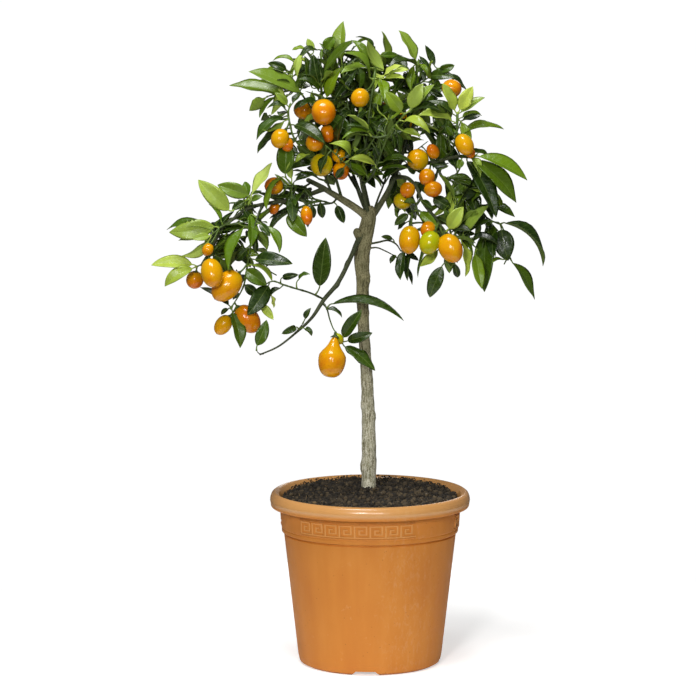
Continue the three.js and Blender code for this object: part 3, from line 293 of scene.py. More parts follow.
        [37, 384, 40, 412, 7, -6, 1, 0.1], [62, 455, 49, 464, 7, 10, 3, 0.2],
        [33, 462, 46, 460, 6, 4, 3, 0.35],
    ]),
    Shoot("trunk_upper", 1.1, on_wood=True, twigs=[
        [[-4, 420, 2], [7, 422, 6], [18, 424, 10], [26, 420, 12], [30, 414, 12]],
    ], leaves=[
        [11, 428, 24, 424, 5, 6, 2, 0.1], [48, 404, 32, 413, 6, -6, 1, 0.1],
    ]),
    Shoot("trunk_lower", 0.9, on_wood=True, twigs=[
        [[-5, 415, 2], [6, 417, 0], [14, 414, -2], [24, 409, -4]],
    ], leaves=[
        [20, 401, 27, 410, 6, 4, 1, 0.1], [42, 380, 27, 406, 5, -4, 1, 0.1],
    ]),
    Shoot("right_tip", 1.4, twigs=[
        [[88, 507, 27], [96, 507, 34], [101, 506, 38], [105, 509, 40]],
    ], leaves=[
        [109, 487, 94, 507, 7, 16, 6, 0.75], [125, 447, 95, 503, 20, 20, 8, 0.1],
        [145, 462, 100, 505, 18, 8, 7, 0.35], [155, 483, 103, 508, 13, 0, 5, 0.5],
        [87, 495, 91, 506, 8, 4, 1, 0.45], [118, 507, 99, 512, 5, -10, 2, 0.3],
    ]),
    Shoot("right_mid", 1.2, twigs=[
        [[60, 501, 12], [67, 494, 16], [72, 486, 18], [84, 482, 20], [97, 478, 20], [104, 470, 18],
        [108, 460, 16]], [[67, 494, 16], [63, 482, 20], [60, 470, 22]],
    ], leaves=[
        [105, 476, 75, 487, 9, 10, 3, 0.3], [80, 469, 95, 480, 10, 4, 2, 0.35],
        [106, 452, 98, 476, 17, 6, 2, 0.2], [84, 455, 91, 469, 6, 8, 2, 0.45],
        [80, 445, 85, 470, 7, 10, 2, 0.75], [62, 448, 80, 474, 8, 12, -6, 0.65],
        [59, 500, 76, 498, 9, -4, 2, 0.05], [79, 460, 73, 484, 9, -8, 1, 0.1],
        [63, 468, 66, 490, 4, 12, 1, 0.75], [80, 456, 60, 468, 13, 4, 3, 0.1],
        [46, 464, 60, 486, 6, -4, 2, 0.1],
    ]),
    Shoot("right_low", 1.2, twigs=[
        [[97, 478, 20], [106, 462, 12], [113, 449, 8], [121, 443, 7], [129, 440, 7], [135, 424, 6],
        [139, 406, 6]],
    ], leaves=[
        [137, 404, 129, 440, 21, 8, 3, 0.1], [171, 398, 130, 442, 7, -6, 12, 0.15],
        [165, 366, 139, 404, 9, -4, 3, 0.4], [112, 373, 116, 434, 20, 10, 3, 0.35],
        [106, 440, 117, 446, 6, 8, 1, 0.15],
    ]),
]

BACK_GROWTH = [
    Growth(-78, 0.92, [LIMB_LEFT], ["left_leader", "crown_left"]),
    Growth(84, 0.95, [LIMB_RIGHT, BRANCH_RIGHT], ["top_right", "crown_right", "right_upright", "right_mid"]),
    Growth(170, 1.1, [STEM_FRONT], ["front_right", "front_left"]),
]

FRUITS = [
    Fruit([-46, 551, 46], [12, 13], 0.8, "crown_left", [-44, 562]),
    Fruit([-10, 565, 58], [9, 9.5], 0.6, "top", [1, 580]),
    Fruit([-66, 553, 4], [9, 10], 0.95, "crown_far_left", [-52, 546]),
    Fruit([-89, 525, 60], [8.5, 10], 0.6, "left_leader", [-78, 540],
        second=Fruit([-82, 519, 56], [6, 7], 0.95)),
    Fruit([-55, 521, 48], [9, 9], 0.85, "left_leader", [-72, 521]),
    Fruit([-42, 530, 36], [7, 9], 0.9, "crown_left", [-44, 546]),
    Fruit([-48, 499, 40], [11, 11.5], 0.3, "front_left", [-43, 517]),
    Fruit([-31, 508, 36], [7, 8], 0.8, "front_left", [-29, 504], second=Fruit([-29, 493, 34], [8, 9], 0.95)),
    Fruit([-95, 478, 33], [8.5, 9.5], 0.85, "left_inner", [-74, 478],
        second=Fruit([-95, 456, 30], [5, 6.5], 1)),
    Fruit([-63, 449, 46], [6, 10], 0.85, "left_underside", [-64, 459]),
    Fruit([80, 574, 8], [9, 10], 0.85, "crown_right", [58, 577]),
    Fruit([93, 519, 52], [8.5, 11.5], 0.6, "right_upright", [85, 533],
        second=Fruit([98.5, 511, 44], [4.8, 6], 0.95)),
    Fruit([47, 504, 24], [10.5, 11], 0.5, "wood", [56, 501]),
    Fruit([62, 512, 28], [6, 8], 0.95, "wood", [66, 503]),
    Fruit([56, 487, 40], [8, 8.5], 0.85, "wood", [60, 501], second=Fruit([62, 475, 42], [9, 8], 0.85)),
    Fruit([37, 474, 36], [7.5, 8], 0.85, "wood", [40, 484], second=Fruit([32, 463, 26], [9, 8], 0.3)),
    Fruit([-157, 392, 84], [10.8, 14.8], 0.62, "far_left_low", [-158, 412]),
    Fruit([-142, 379, 68], [12.8, 17.8], 0.7, "left_cluster", [-121, 402]),
    Fruit([-174, 385, 48], [8.5, 9], 0.9, "far_left_low", [-171, 398]),
    Fruit([-161, 415, 72], [5.5, 6.5], 0.75, "far_left_tip", [-149, 437]),
    Fruit([-122, 346, 50], [11.6, 15.6], 0.9, "left_cluster", [-135, 364],
        second=Fruit([-146, 340, 50], [8, 11], 0.65)),
    Fruit([-37.3, 309, 62], [13.6, 20.8], 0.72, "low_branch", [-34, 332], neck=0.46,
        second=Fruit([-31.5, 326, 52], [4.8, 6], 0.2)),
    Fruit([39, 425, 46], [10.2, 14.2], 0.62, "right_inner", [50, 448]),
    Fruit([59, 422, 60], [9.8, 12.2], 0.12, "right_cluster", [68, 441],
        second=Fruit([58, 434, 44], [9, 8], 0.8)),
    Fruit([79.5, 416.5, 62], [11.5, 15.2], 0.72, "right_cluster", [69, 437]),
]
# fruit on the far side of the crown, where no solid stands: all places are real ones
FAR_FRUITS = [
    Fruit([18, 62, 548], [11, 13], 0.8, [24, 50, 566]),
    Fruit([-38, 52, 522], [10, 12], 0.9, [-34, 42, 542]),
    Fruit([34, 74, 536], [11, 14], 0.6, [32, 62, 556]),
]


def seen(place):
    """The real place of a point that is given as it is seen."""
    x, z, near = place[:3]
    return Vector((x, 0, z)).lerp(EYE, near / -EYE.y)


def turned(points, growth):
    """Points in front of the trunk, moved to where they belong behind it."""
    turn = Matrix.Rotation(math.radians(growth.turn), 4, "Z")
    matrix = turn @ Matrix.Diagonal((growth.closer, growth.closer, 1, 1))
    return points @ np.array(matrix.to_3x3()).T


def spot_on(lines, x, z):
    """The spot on some routes whose seen x and z come nearest to a given x and z."""
    found = (math.inf, None)
    for line in lines:
        for a, b in zip(line, line[1:]):
            a, b = np.array(a[:3], float), np.array(b[:3], float)
            along = b - a
            reach = (x - a[0]) * along[0] + (z - a[1]) * along[1]
            spot = a + along * within(reach / (along[0] ** 2 + along[1] ** 2))
            found = min(found, (math.hypot(spot[0] - x, spot[1] - z), tuple(spot)))
    return found[1]


# ---------------------------------------------------------------- making meshes
class Skin:
    """The points and faces of one piece, in millimetres, with what its materials read from them."""

    def __init__(self):
        self.points, self.faces, self.finishes, self.places, self.looks = [], [], [], [], []

    def add(self, points, faces, finish=0, places=None, look=(0, 0, 0)):
        """finish is the number of a material, places are two numbers a point, laid out over the surface,
        and look is three numbers for the whole or for each point."""
        start = sum(map(len, self.points))
        points = np.asarray(points, float).reshape(-1, 3)
        self.points.append(points)
        self.faces += [[start + i for i in face] for face in faces]
        self.finishes += [finish] * len(faces)
        self.places.append(np.zeros((len(points), 2)) if places is None else np.reshape(places, (-1, 2)))
        looks = np.ones((len(points), 4))
        looks[:, :3] = np.reshape(look, (-1, 3))
        self.looks.append(looks)

    def loft(self, rings, finish=0, places=None, look=(0, 0, 0)):
        """A skin over rings of as many points each, with both ends closed."""
        rings = np.asarray(rings, float)
        count, sides = rings.shape[:2]
        faces = []
        for i in range(count - 1):
            for j in range(sides):
                a, b = i * sides + j, i * sides + (j + 1) % sides
                faces.append((a, b, b + sides, a + sides))
        faces.append(tuple(reversed(range(sides))))
        faces.append(tuple(range((count - 1) * sides, count * sides)))
        self.add(rings, faces, finish, places, look)

    def mesh(self, name, materials):
        mesh = bpy.data.meshes.new(name)
        mesh.from_pydata((np.concatenate(self.points) * MM).tolist(), [], self.faces)
        mesh.polygons.foreach_set("material_index", self.finishes)
        mesh.polygons.foreach_set("use_smooth", [True] * len(self.faces))
        corners = np.empty(len(mesh.loops), np.int32)
        mesh.loops.foreach_get("vertex_index", corners)
        layer = mesh.uv_layers.new(name="places")
        layer.uv.foreach_set("vector", np.concatenate(self.places)[corners].astype(np.float32).ravel())
        look = mesh.attributes.new("look", "FLOAT_COLOR", "POINT")
        look.data.foreach_set("color", np.concatenate(self.looks).astype(np.float32).ravel())
        for material in materials:
            mesh.materials.append(material)
        mesh.validate()
        return mesh


def link(name, data):
    """A new object in the scene."""
    obj = bpy.data.objects.new(name, data)
    bpy.context.scene.collection.objects.link(obj)
    return obj


def put(name, mesh, slot, *nodes):
    """Makes a piece of a mesh. It rides on the root and stands for the CAD nodes given."""
    piece = link(name, mesh)
    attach(piece, "root")
    if nodes:
        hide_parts(*nodes)


def unit(v):
    return v / np.linalg.norm(v)


def cross_frame(axis):
    """Two directions square to an axis and to each other."""
    first = unit(np.cross(axis, (0.3, 1, 0.2)))
    return first, np.cross(axis, first)


def around(first, second, angle):
    """The direction at an angle from a first to a second one."""
    return first * math.cos(angle) + second * math.sin(angle)


def polar(radius, angle):
    """The x and y of a point round the upright axis."""
    return math.cos(angle) * radius, math.sin(angle) * radius


def on_line(place, a, b):
    """The value at a place on the straight line through two pairs of a place and a value."""
    return a[1] + (place - a[0]) * (b[1] - a[1]) / (b[0] - a[0])


def within(value, low=0, high=1):
    return min(max(value, low), high)


def smooth_line(points, spacing):
    """Points a few millimetres apart along a smooth line through the given ones. A fourth number, such
    as a radius, is carried along."""
    points = [np.array(p, float) for p in points]
    points = [2 * points[0] - points[1], *points, 2 * points[-1] - points[-2]]
    line = []
    for a, b, c, d in zip(points, points[1:], points[2:], points[3:]):
        gaps = [max(np.linalg.norm(q[:3] - p[:3]), 1e-6) ** 0.5 for p, q in ((a, b), (b, c), (c, d))]
        leave = ((b - a) / gaps[0] - (c - a) / (gaps[0] + gaps[1]) + (c - b) / gaps[1]) * gaps[1]
        arrive = ((c - b) / gaps[1] - (d - b) / (gaps[1] + gaps[2]) + (d - c) / gaps[2]) * gaps[1]
        steps = max(2, round(gaps[1] ** 2 / spacing))
        for t in np.arange(steps) / steps:
            at_ends = (2 * t**3 - 3 * t**2 + 1) * b, (3 * t**2 - 2 * t**3) * c
            line.append(at_ends[0] + (t**3 - 2 * t**2 + t) * leave + at_ends[1] + (t**3 - t**2) * arrive)
    return np.array([*line, points[-2]])


def wood_line(points, radius=None, spacing=3):
    """The smooth real line of a limb or twig, with its radius as the fourth number."""
    real = [(*seen(p), p[3] if len(p) > 3 else radius) for p in points]
    return smooth_line(real, spacing)


def nearest_on(lines, place):
    """The point of some smooth lines that is nearest to a place."""
    points = np.concatenate([line[:, :3] for line in lines])
    return points[np.linalg.norm(points - place, axis=1).argmin()]


def frames(line):
    """The first and second sideways directions along a line, without a twist."""
    ahead = np.gradient(line[:, :3], axis=0)
    ahead /= np.linalg.norm(ahead, axis=1, keepdims=True)
    first = np.cross(ahead[0], (0.3, 1, 0.2))
    firsts = []
    for way in ahead:
        first = unit(first - way * first.dot(way))
        firsts.append(first)
    firsts = np.array(firsts)
    return firsts, np.cross(ahead, firsts)


def tube_rings(line, sides):
    """Rings round a line whose fourth number is the radius."""
    first, second = frames(line)
    angle = np.arange(sides) / sides * FULL_TURN
    out = first[:, None] * np.cos(angle)[None, :, None] + second[:, None] * np.sin(angle)[None, :, None]
    return line[:, None, :3] + out * line[:, 3][:, None, None]


# ---------------------------------------------------------------- materials
def linear(hex_colour):
    """An sRGB hex colour as the shaders' linear red, green, blue and alpha."""
    shares = [int(hex_colour[i : i + 2], 16) / 255 for i in (1, 3, 5)]
    return (*[s / 12.92 if s <= 0.04045 else ((s + 0.055) / 1.055) ** 2.4 for s in shares], 1)


def add(tree, kind, *values, inputs={}, stops=(), **settings):
    """Adds a node and returns its first output. values go to its inputs in their order, and inputs holds
    those given by name. Each is a constant, a hex colour or another node's output. stops are a ramp's
    (place, hex colour) pairs."""
    node = tree.nodes.new("ShaderNode" + kind)
    for name, value in settings.items():
        setattr(node, name, value)
    named = [(node.inputs[name], value) for name, value in inputs.items()]
    for socket, value in [*zip([s for s in node.inputs if s.enabled], values), *named]:
        if isinstance(value, bpy.types.NodeSocket):
            tree.links.new(value, socket)
        else:
            socket.default_value = linear(value) if isinstance(value, str) else value
    for i, (place, colour) in enumerate(stops):
        knots = node.color_ramp.elements
        knot = knots[i] if i < 2 else knots.new(place)
        knot.position = place
        knot.color = linear(colour)
    return next((socket for socket in node.outputs if socket.enabled), None)


def material(name, finish):
    """A new material with the shader that finish makes in its tree."""
    made = bpy.data.materials.new(name)
    made.use_nodes = True
    made.node_tree.nodes.clear()
    add(made.node_tree, "OutputMaterial", finish(made.node_tree))
    return made


def in_object(tree):
    """The place of a point in its object, in metres."""
    return add(tree, "TexCoord").node.outputs["Object"]


def own_look(tree):
    """The three numbers of the mesh's own look."""
    return add(tree, "SeparateColor", add(tree, "Attribute", attribute_name="look")).node.outputs


def per_metre(millimetres):
    """A noise scale whose patches are about so many millimetres across."""
    return 1 / (millimetres * MM)


def moulded_polypropylene(tree):
    """Terracotta-coloured polypropylene as it comes out of the injection mould: a satin skin with faint
    upright flow streaks, dulled by pale scuffs and a few specks of dried soil, with a painted highlight on
    what stands proud and on the rim."""
    place, raised = in_object(tree), own_look(tree)[0]
    upright = add(tree, "Mapping", place, inputs={"Scale": (1, 1, 0.1)})
    streaks = add(tree, "TexNoise", upright, per_metre(16), 5)
    clouds = add(tree, "TexNoise", place, per_metre(60), 3)
    both = add(tree, "Mix", 0.45, streaks, clouds)
    plastic = add(tree, "ValToRGB", both, stops=[(0.3, "#BB722D"), (0.5, "#C27A31"), (0.7, "#C98339")])
    scuffs = add(tree, "TexNoise", place, per_metre(9), 9, 0.7)
    scuffed = add(tree, "MapRange", scuffs, 0.6, 0.78, 0, 0.32)
    dusty = add(tree, "Mix", scuffed, plastic, "#D9AE7C", data_type="RGBA")
    # painted highlight: the raised meander is painted paler, where the light catches what stands proud
    painted_relief_highlight = add(tree, "Mix", raised, dusty, "#DDA766", data_type="RGBA")
    speck = add(tree, "MapRange", add(tree, "TexVoronoi", place, per_metre(7)), 0.05, 0.09, 0.5, 0)
    soiled = add(tree, "Mix", speck, painted_relief_highlight, "#7A4A20", data_type="RGBA")
    # water has dried on the wall a little right of the front
    across, _, height = add(tree, "SeparateXYZ", place).node.outputs
    inner = add(tree, "MapRange", across, 0.002, 0.025, 0, 1)
    outer = add(tree, "MapRange", across, 0.045, 0.07, 1, 0)
    wetted = add(tree, "Math", inner, outer, operation="MULTIPLY")
    running = add(tree, "Mapping", place, inputs={"Scale": (1, 1, 0.5)})
    dried = add(tree, "MapRange", add(tree, "TexNoise", running, per_metre(4), 9, 0.75), 0.5, 0.75, 0, 0.22)
    lime = add(tree, "Math", wetted, dried, operation="MULTIPLY")
    limed = add(tree, "Mix", lime, soiled, "#D6BC96", data_type="RGBA")
    # hands have polished the rim, and the wall below is duller; the rim is also painted paler, a painted
    # highlight of the light from above
    rim_polish_and_painted_sheen = add(tree, "MapRange", height, 0.1595, 0.163, 0, 1)
    # painted highlight: a pale cream mixed into the rim's colour
    painted_rim_highlight = add(tree, "Math", rim_polish_and_painted_sheen, 0.5, operation="MULTIPLY")
    with_painted_rim_highlight = add(tree, "Mix", painted_rim_highlight, limed, "#CFA468", data_type="RGBA")
    rough = add(tree, "Mix", rim_polish_and_painted_sheen, add(tree, "MapRange", scuffs, 0.3, 0.75, 0.46, 0.64), 0.26)
    shine = add(tree, "MapRange", rim_polish_and_painted_sheen, 0, 1, 0.2, 0.9)
    grain = add(tree, "TexNoise", place, per_metre(1.2), 3)
    bump = add(tree, "Bump", 0.25, 0.06 * MM, inputs={"Height": grain})
    skin = {"Base Color": with_painted_rim_highlight, "Roughness": rough, "IOR": 1.49, "Specular IOR Level": shine, "Normal": bump}
    return add(tree, "BsdfPrincipled", inputs=skin)


def moist_peat(tree):
    """Potting compost: dark moist peat crumbs, each a little redder or blacker, with no shine."""
    fibres = add(tree, "TexNoise", in_object(tree), per_metre(1.6), 6)
    shade = add(tree, "Mix", 0.45, own_look(tree)[0], fibres)
    browns = [(0.15, "#0F0C07"), (0.45, "#282116"), (0.7, "#4A3E2B"), (0.95, "#7C6B4E")]
    colour = add(tree, "ValToRGB", shade, stops=browns)
    bump = add(tree, "Bump", 0.9, 0.6 * MM, inputs={"Height": fibres})
    return add(tree, "BsdfPrincipled", inputs={"Base Color": colour, "Roughness": 0.92, "Normal": bump})


def perlite_and_fibre(tree):
    """Perlite and bits of wood in the compost: chalky, from white to straw."""
    straws = [(0, "#4B3822"), (0.6, "#7C6644"), (1, "#D6D0C0")]
    colour = add(tree, "ValToRGB", own_look(tree)[0], stops=straws)
    return add(tree, "BsdfPrincipled", inputs={"Base Color": colour, "Roughness": 0.85})


def citrus_bark(tree):
    """Kumquat bark: grey-green over tan, split into long shallow furrows on the trunk, and smooth dark
    green on thin wood. It is dry and has no shine."""
    along = add(tree, "Attribute", attribute_name="grain").node.outputs["Vector"]
    thin, furrow, high = own_look(tree)
    long_grain = add(tree, "Mapping", along, inputs={"Scale": (1, 1, 0.62)})
    fissures = add(tree, "TexNoise", long_grain, per_metre(1.05), 8, 0.78)
    blotches = add(tree, "TexNoise", along, per_metre(9), 4)
    depth = add(tree, "Mix", 0.26, fissures, furrow)
    greys = [(0.39, "#201D14"), (0.45, "#6E6850"), (0.52, "#B0AA8D"), (0.6, "#E8E4D0")]
    old = add(tree, "ValToRGB", depth, stops=greys)
    green = add(tree, "MapRange", blotches, 0.42, 0.66, 0, 0.45)
    mossy = add(tree, "Mix", green, old, "#7D7C52", data_type="RGBA")
    # the limbs and the top of the trunk are greener and darker than its foot
    aged = add(tree, "Mix", high, mossy, "#A8A486", data_type="RGBA", blend_type="MULTIPLY")
    greens = [(0.3, "#1F2314"), (0.5, "#383F24"), (0.68, "#585E3A")]
    young = add(tree, "ValToRGB", fissures, stops=greens)
    colour = add(tree, "Mix", thin, aged, young, data_type="RGBA")
    bump = add(tree, "Bump", 0.8, 0.5 * MM, inputs={"Height": fissures})
    return add(tree, "BsdfPrincipled", inputs={"Base Color": colour, "Roughness": 0.8, "Normal": bump})


def green_stem(tree):
    """The skin of this year's shoots, leaf stalks and fruit stalks: soft waxy green, browner where old."""
    flecks = add(tree, "TexNoise", in_object(tree), per_metre(2.5), 4)
    age = add(tree, "Mix", 0.25, own_look(tree)[0], flecks)
    greens = [(0.1, "#1D2110"), (0.35, "#334218"), (0.65, "#5F7A28"), (0.9, "#96B347")]
    colour = add(tree, "ValToRGB", age, stops=greens)
    return add(tree, "BsdfPrincipled", inputs={"Base Color": colour, "Roughness": 0.45, "IOR": 1.45})


def citrus_leaf(tree):
    """A kumquat leaf: leathery and waxy on top, dark green when old and yellow-green when young, and also
    painted brighter where lit and darker where shaded, with a pale midrib, faint side veins and fine oil
    glands, and paler and duller underneath. Some light comes through it."""
    place = in_object(tree)
    young, chance_of_leaf, under = own_look(tree)
    across, along, _ = add(tree, "SeparateXYZ", add(tree, "UVMap", uv_map="places")).node.outputs
    from_rib = add(tree, "Math", across, operation="ABSOLUTE")
    # how much of a point is midrib, and how much the nearest side vein, from its millimetres to them
    rib = add(tree, "MapRange", from_rib, 0.15, 0.5, 1, 0)
    slant = add(tree, "Math", from_rib, -0.6, along, operation="MULTIPLY_ADD")
    veins = add(tree, "MapRange", add(tree, "Math", slant, 2.6, operation="PINGPONG"), 0.1, 0.55, 1, 0)

    # the tone runs with the leaf's age and also carries painted light and shade: lit leaves get brighter
    # tones
    greens = [(0, "#0D1D05"), (0.25, "#294507"), (0.5, "#5F8210"), (0.75, "#A6C04A"), (1, "#C4D86C")]
    top = add(tree, "ValToRGB", young, stops=greens)
    shade = add(tree, "MapRange", chance_of_leaf, 0, 1, 0.75, 1.3)
    hue = add(tree, "MapRange", chance_of_leaf, 0, 1, 0.503, 0.476)
    varied = add(tree, "HueSaturation", hue, 1, shade, 1, top)
    mottle = add(tree, "TexNoise", place, per_metre(7), 5)
    mottled = add(tree, "MapRange", mottle, 0.4, 0.75, 0, 0.22)
    upper = add(tree, "Mix", mottled, varied, "#5C7F26", data_type="RGBA")
    below = add(tree, "ValToRGB", young, stops=[(0, "#4A5E20"), (0.5, "#7A942C"), (1, "#B8CE58")])
    both = add(tree, "Mix", under, upper, below, data_type="RGBA")
    faint = add(tree, "Math", veins, 0.06, operation="MULTIPLY")
    clear = add(tree, "Math", rib, 0.2, operation="MULTIPLY")
    lines = add(tree, "Math", faint, clear, operation="MAXIMUM")
    colour = add(tree, "Mix", lines, both, "#A9C062", data_type="RGBA")

    glands = add(tree, "TexVoronoi", place, per_metre(0.9), feature="SMOOTH_F1")
    quilted = add(tree, "TexNoise", place, per_metre(5), 2)
    puckers = add(tree, "Math", quilted, 12, glands, operation="MULTIPLY_ADD")
    relief = add(tree, "Math", veins, -0.7, puckers, operation="MULTIPLY_ADD")
    grooved = add(tree, "Math", rib, -2.4, relief, operation="MULTIPLY_ADD")
    bump = add(tree, "Bump", 0.6, 0.07 * MM, inputs={"Height": grooved})
    rough = add(tree, "Mix", under, add(tree, "MapRange", mottle, 0.3, 0.7, 0.22, 0.42), 0.62)
    skin = {"Base Color": colour, "Roughness": rough, "IOR": 1.45, "Normal": bump}
    through = add(tree, "BsdfTranslucent", colour)
    return add(tree, "MixShader", 0.16, add(tree, "BsdfPrincipled", inputs=skin), through)


def kumquat_rind(tree):
    """Kumquat rind: thin, tight and waxy, with oil glands under a millimetre across. It turns from
    yellow-green, last at the stalk end, to orange, and its lower, blossom end is painted deeper orange as
    painted shade."""
    place = in_object(tree)
    ripeness, _, scar = own_look(tree)
    clouds = add(tree, "TexNoise", place, per_metre(13), 3)
    patches = add(tree, "MapRange", clouds, 0.3, 0.7, -0.12, 0.12)
    ripe = add(tree, "Math", ripeness, patches, operation="ADD")
    yellows = [(0, "#93A60A"), (0.25, "#B4A606"), (0.5, "#CC9A02"), (0.75, "#D69202"), (1, "#C86602")]
    flesh = add(tree, "ValToRGB", ripe, stops=yellows)
    glands = add(tree, "TexVoronoi", place, per_metre(0.85), feature="SMOOTH_F1")
    pit = add(tree, "MapRange", glands, 0, 0.35, 0.22, 0)
    pitted = add(tree, "Mix", pit, flesh, "#B85A0A", data_type="RGBA")
    scarred = add(tree, "Mix", scar, pitted, "#5A3A16", data_type="RGBA")
    skin = {
        "Base Color": scarred,
        "Roughness": 0.17,
        "IOR": 1.47,
        "Specular IOR Level": 0.42,
        "Subsurface Weight": 0.03,
        "Subsurface Radius": (0.004, 0.002, 0.0008),
        "Normal": add(tree, "Bump", 0.45, 0.14 * MM, inputs={"Height": glands}),
    }
    return add(tree, "BsdfPrincipled", inputs=skin)


def seamless_paper(tree):
    """White seamless backdrop paper, matt and plain. It looks whiter than the light it throws back."""
    glow = add(tree, "MapRange", add(tree, "LightPath"), 0, 1, 0.04, 0.5)
    light = {"Emission Color": "#FFFFFF", "Emission Strength": glow}
    return add(tree, "BsdfPrincipled", inputs={"Base Color": "#FBFBFA", "Roughness": 0.9, **light})


terracotta = material("terracotta_polypropylene", moulded_polypropylene)
peat = material("moist_peat", moist_peat)
bits = material("perlite_and_wood_fibre", perlite_and_fibre)
bark = material("citrus_bark", citrus_bark)
stem = material("green_citrus_stem", green_stem)
leaf_skin = material("citrus_leaf", citrus_leaf)
rind = material("kumquat_rind", kumquat_rind)
paper = material("white_backdrop_paper", seamless_paper)


# ---------------------------------------------------------------- leaves
# places across a blade, from one margin to the other, on top and then back underneath, and along it
TOP_COLUMNS = (-1, -0.72, -0.4, -0.12, 0, 0.12, 0.4, 0.72, 1)
COLUMNS = TOP_COLUMNS + TOP_COLUMNS[-2:0:-1]
LEAF_SHARES = (0, 0.03, 0.09, 0.17, 0.27, 0.37, 0.47, 0.57, 0.67, 0.76, 0.84, 0.91, 0.96, 1)
# the blade's thickness, its stalk's radius where the blade starts, and the half width under which it is
# round
LEAF_THICK, STALK_THICK, ROUND_BELOW = 0.38, 0.62, 0.9
# how wide a leaf is for its length, at least and at most, unless it shows wider, and its stalk's length
WIDE_SHARE, NARROWEST, WIDEST, PETIOLE = 0.4, 7, 24, 5.5
TWIG_SIDES = 8


def blade_width(share):
    """The half width along a blade, 1 at its widest: broad and elliptic, with a pointed tip."""
    return (share / 0.44) ** 0.7 * ((1 - share) / 0.56) ** 0.9 if 0 < share < 1 else 0


def add_blade(skin, root, base, tip, side, over, width, bow, young, dice, fine=True):
    """A leaf from its root on the twig, along its stalk to base, to its tip. side points to the blade's
    margin, and over is the way its upper face looks."""
    run = tip - base
    length = np.linalg.norm(run)
    ahead = run / length

    # every leaf folds, cups, waves and hooks a little differently
    fold = math.radians(dice.uniform(6, 30) * (1.2 - 0.5 * young))
    cup = dice.uniform(-0.1, 0.16)
    wave, waves, phase = dice.uniform(0.3, 1.4), dice.uniform(1, 2.2), dice.uniform(0, 6.3)
    sway = dice.uniform(-0.05, 0.05) * length
    hook = dice.uniform(-0.02, 0.07) * length
    lopsided = dice.uniform(-0.08, 0.08)
    chance = dice.random()
    # the share of the run that the rest of the stalk takes up
    neck = min(max(PETIOLE - np.linalg.norm(base - root), 0) / length, 0.2)
    top = len(TOP_COLUMNS)

    def spine(share):
        middle = base + run * share + over * (bow * 4 * share * (1 - share) - hook * share**3)
        return middle + side * sway * math.sin(math.pi * share) * share

    rings, places, looks = [], [], []

    def ring(middle, forward, half, share, thick, rib):
        out = unit(side - forward * side.dot(forward))
        up = np.cross(out, forward)
        points = []
        for i, u in enumerate(COLUMNS):
            reach = half * (1 + lopsided * (1 if u > 0 else -1)) * abs(u)
            rise = reach * math.sin(fold) + cup * half * u * u
            rise += wave * abs(u) ** 3 * math.sin(waves * FULL_TURN * share + phase + u) * min(half / 6, 1)
            drop = (thick / 2 if i < top else -thick / 2) * (0.35 if abs(u) == 1 else 1)
            if u == 0 and i > top:
                drop -= rib
            if half < ROUND_BELOW:
                angle = math.radians(-90 + i * 360 / len(COLUMNS))
                points.append(middle + up * math.cos(angle) * thick + out * math.sin(angle) * thick)
            else:
                points.append(middle + out * math.copysign(reach * math.cos(fold), u) + up * (rise + drop))
            places.append((u * half, share * length))
            looks.append((young, chance, 1 if i >= top else 0))
        rings.append(points)

    # the leaf stalk, thicker where it leaves the twig
    start = spine(neck)
    bend = start - ahead * 0.45 * np.linalg.norm(start - root)
    for t in (0, 0.2, 0.5, 0.8) if fine else (0, 0.5):
        middle = root * (1 - t) ** 2 + bend * 2 * t * (1 - t) + start * t * t
        forward = unit((bend - root) * (1 - t) + (start - bend) * t + ahead * 1e-3)
        ring(middle, forward, 0, 0, (1.15 - 0.45 * min(t * 2.5, 1)) * (0.75 + 0.25 * width / WIDEST), 0)
    for q in LEAF_SHARES if fine else LEAF_SHARES[1::2]:
        share = neck + (1 - neck) * q
        forward = unit(spine(min(share + 0.02, 1)) - spine(share - 0.02))
        half = width / 2 * blade_width(q)
        thick = STALK_THICK if half < ROUND_BELOW and q < 0.5 else LEAF_THICK * (0.5 if q == 1 else 1)
        ring(spine(share), forward, half, share, thick, 0.55 * (1 - q) ** 0.6)
    skin.loft(rings, 0, places, looks)


def add_leaf(skin, lines, curves, row, dice):
    """One listed leaf on the twigs whose seen routes are lines and whose smooth lines are curves."""
    tip_x, tip_z, base_x, base_z, shown, nearer, bow, young = row
    spot = spot_on(lines, base_x, base_z)
    base = np.array(seen((base_x, base_z, spot[2])))
    tip = np.array(seen((tip_x, tip_z, spot[2] + nearer)))
    root = nearest_on(curves, np.array(seen(spot)))
    length = np.linalg.norm(tip - base)
    ahead = (tip - base) / length
    side = unit(np.cross(ahead, np.array(EYE) - base))
    face = np.cross(side, ahead)
    width = max(within(length * WIDE_SHARE, NARROWEST, WIDEST), abs(shown))
    turn = math.acos(abs(shown) / width) * (-1 if side[2] > 0 else 1) + (math.pi if shown < 0 else 0)
    over = face * math.cos(turn) - side * math.sin(turn)
    add_blade(skin, root, base, tip, around(side, face, turn), over, width, bow, young, dice)


def hides_fruit(place, clear=5):
    """Whether a place stands in front of a fruit, from the tree's front."""
    share = (place[1] - EYE.y) / -EYE.y
    x, z = EYE.x + (place[0] - EYE.x) / share, EYE.z + (place[2] - EYE.z) / share
    for fruit in [*FRUITS, *(fruit.second for fruit in FRUITS if fruit.second)]:
        covered = math.hypot(fruit.at[0] - x, fruit.at[1] - z) < fruit.size[1] + clear
        if covered and fruit.at[2] < -place[1] + 12:
            return True
    return False


def spread(dice, length):
    """A random way of some length."""
    return unit(np.array([dice.gauss(0, 1) for _ in range(3)])) * length


